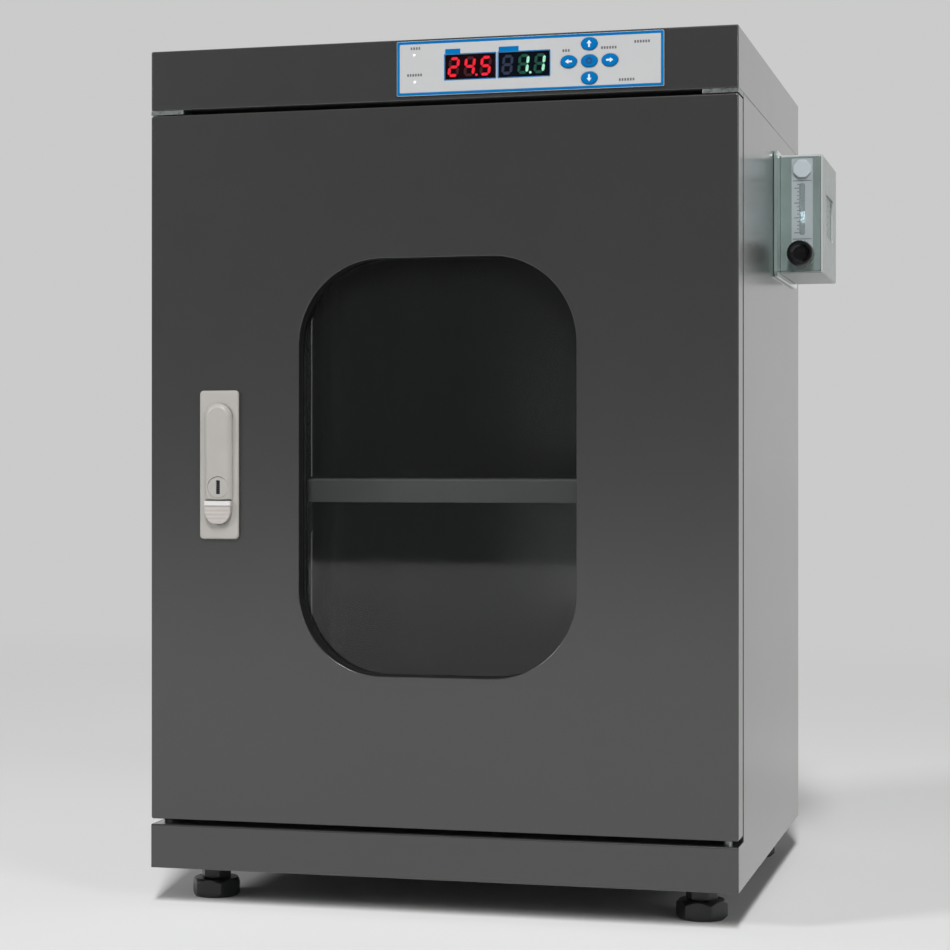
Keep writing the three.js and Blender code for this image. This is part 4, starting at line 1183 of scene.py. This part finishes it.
def control_panel():
    span = Span("control_overlay")
    room = 0.15 * MM
    overlay_film(span, room)
    overlay_blue(span, room)
    captions(span)
    status_lamps(span)
    for name in KEYS:
        key(name)
    unlit = ["unlit_blue", "unlit_green", "unlit_green"]
    display("display_temperature", "display_red", "245", "lit_red", ["unlit_red"] * 3)
    display("display_humidity", "display_green", " 11", "lit_green", unlit)
    kept("control_board", "circuit_board", 0.1 * MM)
    kept("power_supply", "zinc_plate", 0.6 * MM)
    kept("power_inlet", "black_plastic")
    kept("gas_inlet", "zinc_plate")
    kept("solenoid_valve", "black_plastic", 0.4 * MM)
    kept("humidity_probe", "black_plastic")
    inlet_pins()


# ---- shelf

def shelf():
    span = Span("shelf")
    made = folded_tray("shelf_tray", "shelf", "z", 2.0 * MM, SHELF_SHEET, 0.3 * MM, 5, 0.3 * MM)
    rows, columns = SHELF_VENTS["rows"], SHELF_VENTS["columns"]
    slots = []
    for row in range(rows):
        y = span.front + (row + 0.5) / rows * span.depth
        for column in range(columns):
            x = span.left + (column + 0.5) / columns * span.width
            loop = around(x, y, SHELF_VENTS["length"], SHELF_VENTS["width"], SHELF_VENTS["radius"], 6)
            slots.append(punch(loop, "z", span.top - 3 * SHELF_SHEET, span.top + SHELF_SHEET))
    dressed(carved(made, merged("slots", slots)), "cabinet", "inner_paint", "shelf")
    for side in ("left", "right"):
        for end in ("front", "rear"):
            kept(f"shelf_standard_{end}_{side}", "zinc_plate")
            kept(f"shelf_clip_{end}_{side}", "zinc_plate")


# ---- gas line and flow meter

def wall_plate():
    span = Span("meter_wall_plate")
    outline = span.outline("x", 0.0, 6 * MM, 8)
    made = plate("wall_plate", [outline, *tube_holes()], "x", span.left, span.right, 0.5 * MM, 3)
    dressed(made, "cabinet", "clear_acrylic", "meter_wall_plate")


def opening_in_cover(place, front):
    """A METER_SLOT or PANE as an outline in y and z."""
    return rounded(front + place["front"], place["bottom"], front + place["rear"], place["top"], 2 * MM, 4)


def meter_cover():
    """A folded cover, open in front and towards the wall, with a pane behind a slot in its outer side whose
    pale tone stands in for light seen through the slot: painted light.
    """
    span = Span("meter_housing")
    case_front = Span("header_shell").front
    inner = span.right - METER_SHEET
    made = folded_tray("meter_cover", "meter_housing", "x", 1.6 * MM, METER_SHEET, 0.3 * MM)
    mouth = block("mouth", (span.left - MM, span.front - MM, span.bottom + METER_SHEET),
                  (inner, span.front + 4 * MM, span.top - METER_SHEET), 0.1 * MM)
    slot = punch(opening_in_cover(METER_SLOT, case_front), "x", span.right - 3 * MM, span.right + 2 * MM)
    dressed(carved(made, mouth, slot), "cabinet", "meter_grey", "meter_housing")
    # The pane's pale tone stands in for the light seen through the slot: painted light.
    outline = opening_in_cover(PANE, case_front)
    pane = plate("slot_pane_painted_light", [outline], "x", inner - 0.8 * MM, inner - 0.1 * MM, 0.1 * MM)
    dressed(pane, "cabinet", "meter_grey", look="slot_pane_painted_light")


def meter_body():
    """A clear block with the float's column, the valve's bore and the top plug's bore."""
    span = Span("meter_block")
    x, y = Span("meter_float").x, Span("meter_float").y
    knob_z, plug_z = Span("meter_knob").z, Span("meter_plug").z
    inner = Span("meter_wall_plate").right + 0.02 * MM
    made = block("meter_body", (inner, span.front, span.bottom), (span.right, span.rear, span.top), 0.5 * MM)
    column = bore(METER_BORE, knob_z, plug_z, (x, y, 0.0), "z", 32)
    low = bore(3.3 * MM, span.front - MM, y + 2 * MM, (x, 0.0, knob_z), "y", 24)
    high = bore(4.3 * MM, span.front - MM, y, (x, 0.0, plug_z), "y", 24)
    dressed(carved(made, column, low, high), "cabinet", "clear_acrylic", "meter_block")


def meter_scale():
    """A frosted strip with a clear sight pane, and the graduations printed on it."""
    span = Span("meter_block")
    x = Span("meter_float").x
    knob, cap = Span("meter_knob"), Span("meter_plug")
    half = SCALE["width"] / 2
    face = span.front - 0.08 * MM
    strip = rounded(x - half, span.bottom + 6 * MM, x + half, span.top - 1.5 * MM, 0.8 * MM, 3)
    holes = [circle(cap.x, cap.z, 4.6 * MM, 32), circle(knob.x, knob.z, 3.6 * MM, 32)]
    sight = around(x, SIGHT["z"], SIGHT["width"], SIGHT["height"], 2.2 * MM, 6)
    made = printed("scale_strip", [strip, *holes, sight], face, span.front + 0.02 * MM)
    dressed(made, "cabinet", "clear_acrylic", look="scale_frost")
    gap = 0.1 * MM
    pane = around(x, SIGHT["z"], SIGHT["width"] - 2 * gap, SIGHT["height"] - 2 * gap, 2.2 * MM - gap, 6)
    made = printed("scale_sight", [pane], face + 0.02 * MM, span.front + 0.04 * MM, 0.01 * MM)
    dressed(made, "cabinet", "clear_acrylic", look="scale_sight")
    marks = []
    for i in range(SCALE["marks"]):
        z = SCALE["bottom"] + (SCALE["top"] - SCALE["bottom"]) * i / (SCALE["marks"] - 1)
        length = 2.8 * MM if i % SCALE["major"] else 5.2 * MM
        right = x - 1.2 * MM
        marks.append(rounded(right - length, z - SCALE["mark"] / 2, right, z + SCALE["mark"] / 2, CUT, 1))
    for z in SCALE_LINES:
        marks.append(rounded(x - half + MM, z, x + half - MM, z + SCALE["mark"], CUT, 1))
    made = printed("scale_marks", marks, face - 0.05 * MM, face + 0.04 * MM, 0.01 * MM)
    dressed(made, "cabinet", "meter_grey", look="scale_ink")


def top_plug():
    """An eight-sided head on a round shank."""
    span = Span("meter_plug")
    front = span.front
    radius = span.height / 2 / math.cos(math.pi / 8)
    outline = regular(8, span.x, span.z, radius, 22.5)
    head = plate("meter_cap", [outline], "y", front, front + 2.2 * MM, 0.5 * MM, 3)
    shank = bore(4 * MM, front + 1.5 * MM, span.rear, (span.x, 0.0, span.z), "y", 32)
    dressed(united(head, shank), "cabinet", "meter_grey", "meter_plug", look="plug_finish")


def float_bob():
    """A float with a narrow waist and a heavy top."""
    span = Span("meter_float")
    radius = span.width / 2
    tip = 0.2 * MM
    waist = radius * 0.62
    profile = [(tip, 0.0), (waist, 0.6), (radius, 2.0), (radius, 2.8), (waist, 3.8), (waist, 5.4),
               (radius, 6.8), (radius, 8.7), (radius * 0.9, 9.0), (tip, 9.0)]
    profile = [(reach, height * MM) for reach, height in profile]
    made = spun("float_bob", profile, (span.x, span.y, span.bottom), "z", 32)
    dressed(made, "meter_float", "zinc_plate", "meter_float", look="float_painted_glow")


def valve_knob():
    """A dished cap with a fluted skirt on a stem."""
    span = Span("meter_knob")
    radius = span.width / 2
    front = span.front
    face = Span("meter_block").front
    stem = 3 * MM
    dish = ((0.52, 2.2), (0.66, 1.1), (0.72, 0.2), (0.78, 0.0), (0.9, 0.2), (0.98, 1.0), (1.0, 2.2))
    skirt = ((1.0, 6.5), (0.96, 5.6), (0.72, 1.4), (0.7, 1.0))

    def fluted(reach, turn):
        if reach < radius * 0.95:
            return reach
        return reach - 0.25 * MM * (1 + math.cos(KNOB_FLUTES * turn)) / 2

    profile = [(0.3 * MM, front + 2.4 * MM)]
    profile += [(radius * share, front + back * MM) for share, back in dish]
    profile += [(radius * share, face - ahead * MM) for share, ahead in skirt]
    profile += [(stem, face - MM), (stem, span.rear)]
    made = spun("valve_knob", profile, (span.x, 0.0, span.z), "y", KNOB_FLUTES * 6, fluted)
    dressed(made, "meter_knob", "black_plastic", "meter_knob", look="knob_gloss")


def gas_lines():
    """The two clear tubes, along the same stops as the CAD tubes."""
    supply = Span("supply_tube")
    purge = Span("purge_tube")
    valve = Span("gas_inlet")
    radius, bend = TUBE["radius"], TUBE["bend"]
    right = supply.right - radius
    (supply_y, low_z), (purge_y, high_z) = tube_places()
    stops = [(valve.x, supply.rear, valve.z), (valve.x, supply_y, valve.z), (valve.x, supply_y, low_z),
             (right, supply_y, low_z), (right, supply.front, low_z)]
    dressed(tube("supply_line", stops, radius, bend), "cabinet", "clear_tube", "supply_tube")
    stops = [(right, purge.front, high_z), (right, purge_y, high_z), (purge.left, purge_y, high_z)]
    dressed(tube("purge_line", stops, radius, bend), "cabinet", "clear_tube", "purge_tube")


def flow_meter():
    wall_plate()
    meter_cover()
    meter_body()
    meter_scale()
    top_plug()
    float_bob()
    valve_knob()
    gas_lines()


# ---- feet

def turned_hexagon(name, x, y, bottom, top, across, steps=72):
    """A hexagon with turned chamfers at both ends, with corners on the x axis."""
    flat = across * math.cos(math.pi / 6)
    drop = across - flat
    levels = 6
    heights = [bottom + drop * i / levels for i in range(levels + 1)]
    heights += [top - drop * (levels - i) / levels for i in range(levels + 1)]
    rings = []
    for z in heights:
        cone = flat * 0.985 + min(z - bottom, top - z)
        ring = []
        for i in range(steps):
            turn = 2 * math.pi * i / steps
            reach = min(flat / math.cos((turn % (math.pi / 3)) - math.pi / 6), cone)
            ring.append((x + reach * math.cos(turn), y + reach * math.sin(turn), z))
        rings.append(ring)
    return loft(name, rings)


def threaded_stud(x, y, bottom, top):
    pitch = FOOT["pitch"]
    profile = [(STUD["root"], bottom - MM)]
    for i in range(int((top - bottom) / pitch)):
        z = bottom + i * pitch
        profile += [(STUD["root"], z), (STUD["crest"], z + 0.5 * pitch)]
    profile += [(STUD["root"], top)]
    return spun("stud", profile, (x, y, 0.0), "z", 32)


def foot(corner):
    """A six-sided pad and a nut in one, on a threaded stud."""
    node = "foot_" + corner
    span = Span(node)
    pad_top, nut_top = FOOT["pad_top"], FOOT["nut_top"]
    pad = turned_hexagon("pad", span.x, span.y, span.bottom, pad_top, span.width / 2)
    nut = turned_hexagon("nut", span.x, span.y, pad_top - 0.6 * MM, nut_top, FOOT["nut"])
    stud = threaded_stud(span.x, span.y, nut_top, span.top)
    dressed(merged(node + "_screw", [united(pad, nut), stud]), node, "black_plastic", node, sharp=24)


def feet():
    for corner in ("fl", "fr", "rl", "rr"):
        foot(corner)


# ---- studio

def studio_floor():
    """A pale floor that fades into the backdrop's tone far behind the object."""
    bm = bmesh.new()
    corners = ((-30, -6.2), (30, -6.2), (30, 60), (-30, 60))
    bm.faces.new([bm.verts.new((x, y, 0.0)) for x, y in corners])
    floor = linked("studio_floor", bm)
    material = bpy.data.materials.new("floor_paint")
    graph = Graph(material)
    where = graph.place()
    paint = graph.scaled(FLOOR_TONE, graph.spread(graph.noise(where, 2.0), 0.99, 1.01))
    matt = graph.shader("BsdfPrincipled", Base_Color=paint, Roughness=0.6, Specular_IOR_Level=0.0)
    far = graph.shader("Emission", Color=BACK_TONE, Strength=1.0)
    parts = graph.add("SeparateXYZ", {"Vector": where})
    fade = graph.span(parts.outputs["Y"], 0.3, 2.6, 0.0, 1.0, interpolation_type="SMOOTHSTEP")
    graph.show(graph.mixed(fade, matt, far))
    floor.data.materials.append(material)


def studio_world():
    """A pale backdrop to the camera, a bright wall behind to anything glossy, and a dim fill for the rest."""
    world = bpy.data.worlds.new("studio")
    bpy.context.scene.world = world
    graph = Graph(world)
    parts = graph.add("SeparateXYZ", {"Vector": graph.add("TexCoord").outputs["Generated"]})
    height = graph.math("ADD", parts.outputs["Y"], graph.math("MULTIPLY", parts.outputs["Z"], 0.35))
    behind = graph.span(height, -0.25, 0.45, 0.2, 1.05, interpolation_type="SMOOTHSTEP")
    seen, mirrored, fill = (
        graph.shader("Background", Color=BACK_TONE, Strength=strength) for strength in (1.0, behind, FILL)
    )
    path = graph.add("LightPath")
    felt = graph.mixed(path.outputs["Is Diffuse Ray"], mirrored, fill)
    graph.show(graph.mixed(path.outputs["Is Camera Ray"], felt, seen), "OutputWorld")


def area_light(name, place, target, width, height, power):
    data = bpy.data.lights.new(name, "AREA")
    data.shape = "RECTANGLE"
    data.size = width
    data.size_y = height
    data.energy = power
    light = bpy.data.objects.new(name, data)
    light.location = place
    light.rotation_euler = (Vector(target) - Vector(place)).to_track_quat("-Z", "Y").to_euler()
    bpy.context.scene.collection.objects.link(light)


def studio_lights():
    """A tall, far key light above and in front, a lower one from the left and a weak one from the right."""
    area_light("high_front", (1.5, -7.3, 9.5), (0.0, 0.0, 0.0), 1.2, 5.0, 1150)
    area_light("low_left", (-5.5, -4.7, 3.4), (0.0, 0.0, 0.2), 1.6, 1.6, 250)
    area_light("low_right", (5.6, -4.0, 2.6), (0.0, 0.0, 0.3), 2.0, 2.0, 110)


def studio_camera():
    data = bpy.data.cameras.new("photo_view")
    data.sensor_width = 36
    data.lens = 87.3
    data.shift_y = -0.00857
    data.clip_end = 200
    camera = bpy.data.objects.new("photo_view", data)
    camera.location = (0.4283, -1.8331, 0.3324)
    camera.rotation_euler = (math.radians(90), 0.0, math.radians(14.28))
    bpy.context.scene.collection.objects.link(camera)
    bpy.context.scene.camera = camera


def studio():
    studio_floor()
    studio_world()
    studio_lights()
    studio_camera()
    bpy.context.scene.view_settings.view_transform = "Standard"


cabinet()
door()
latch()
control_panel()
shelf()
flow_meter()
feet()
studio()
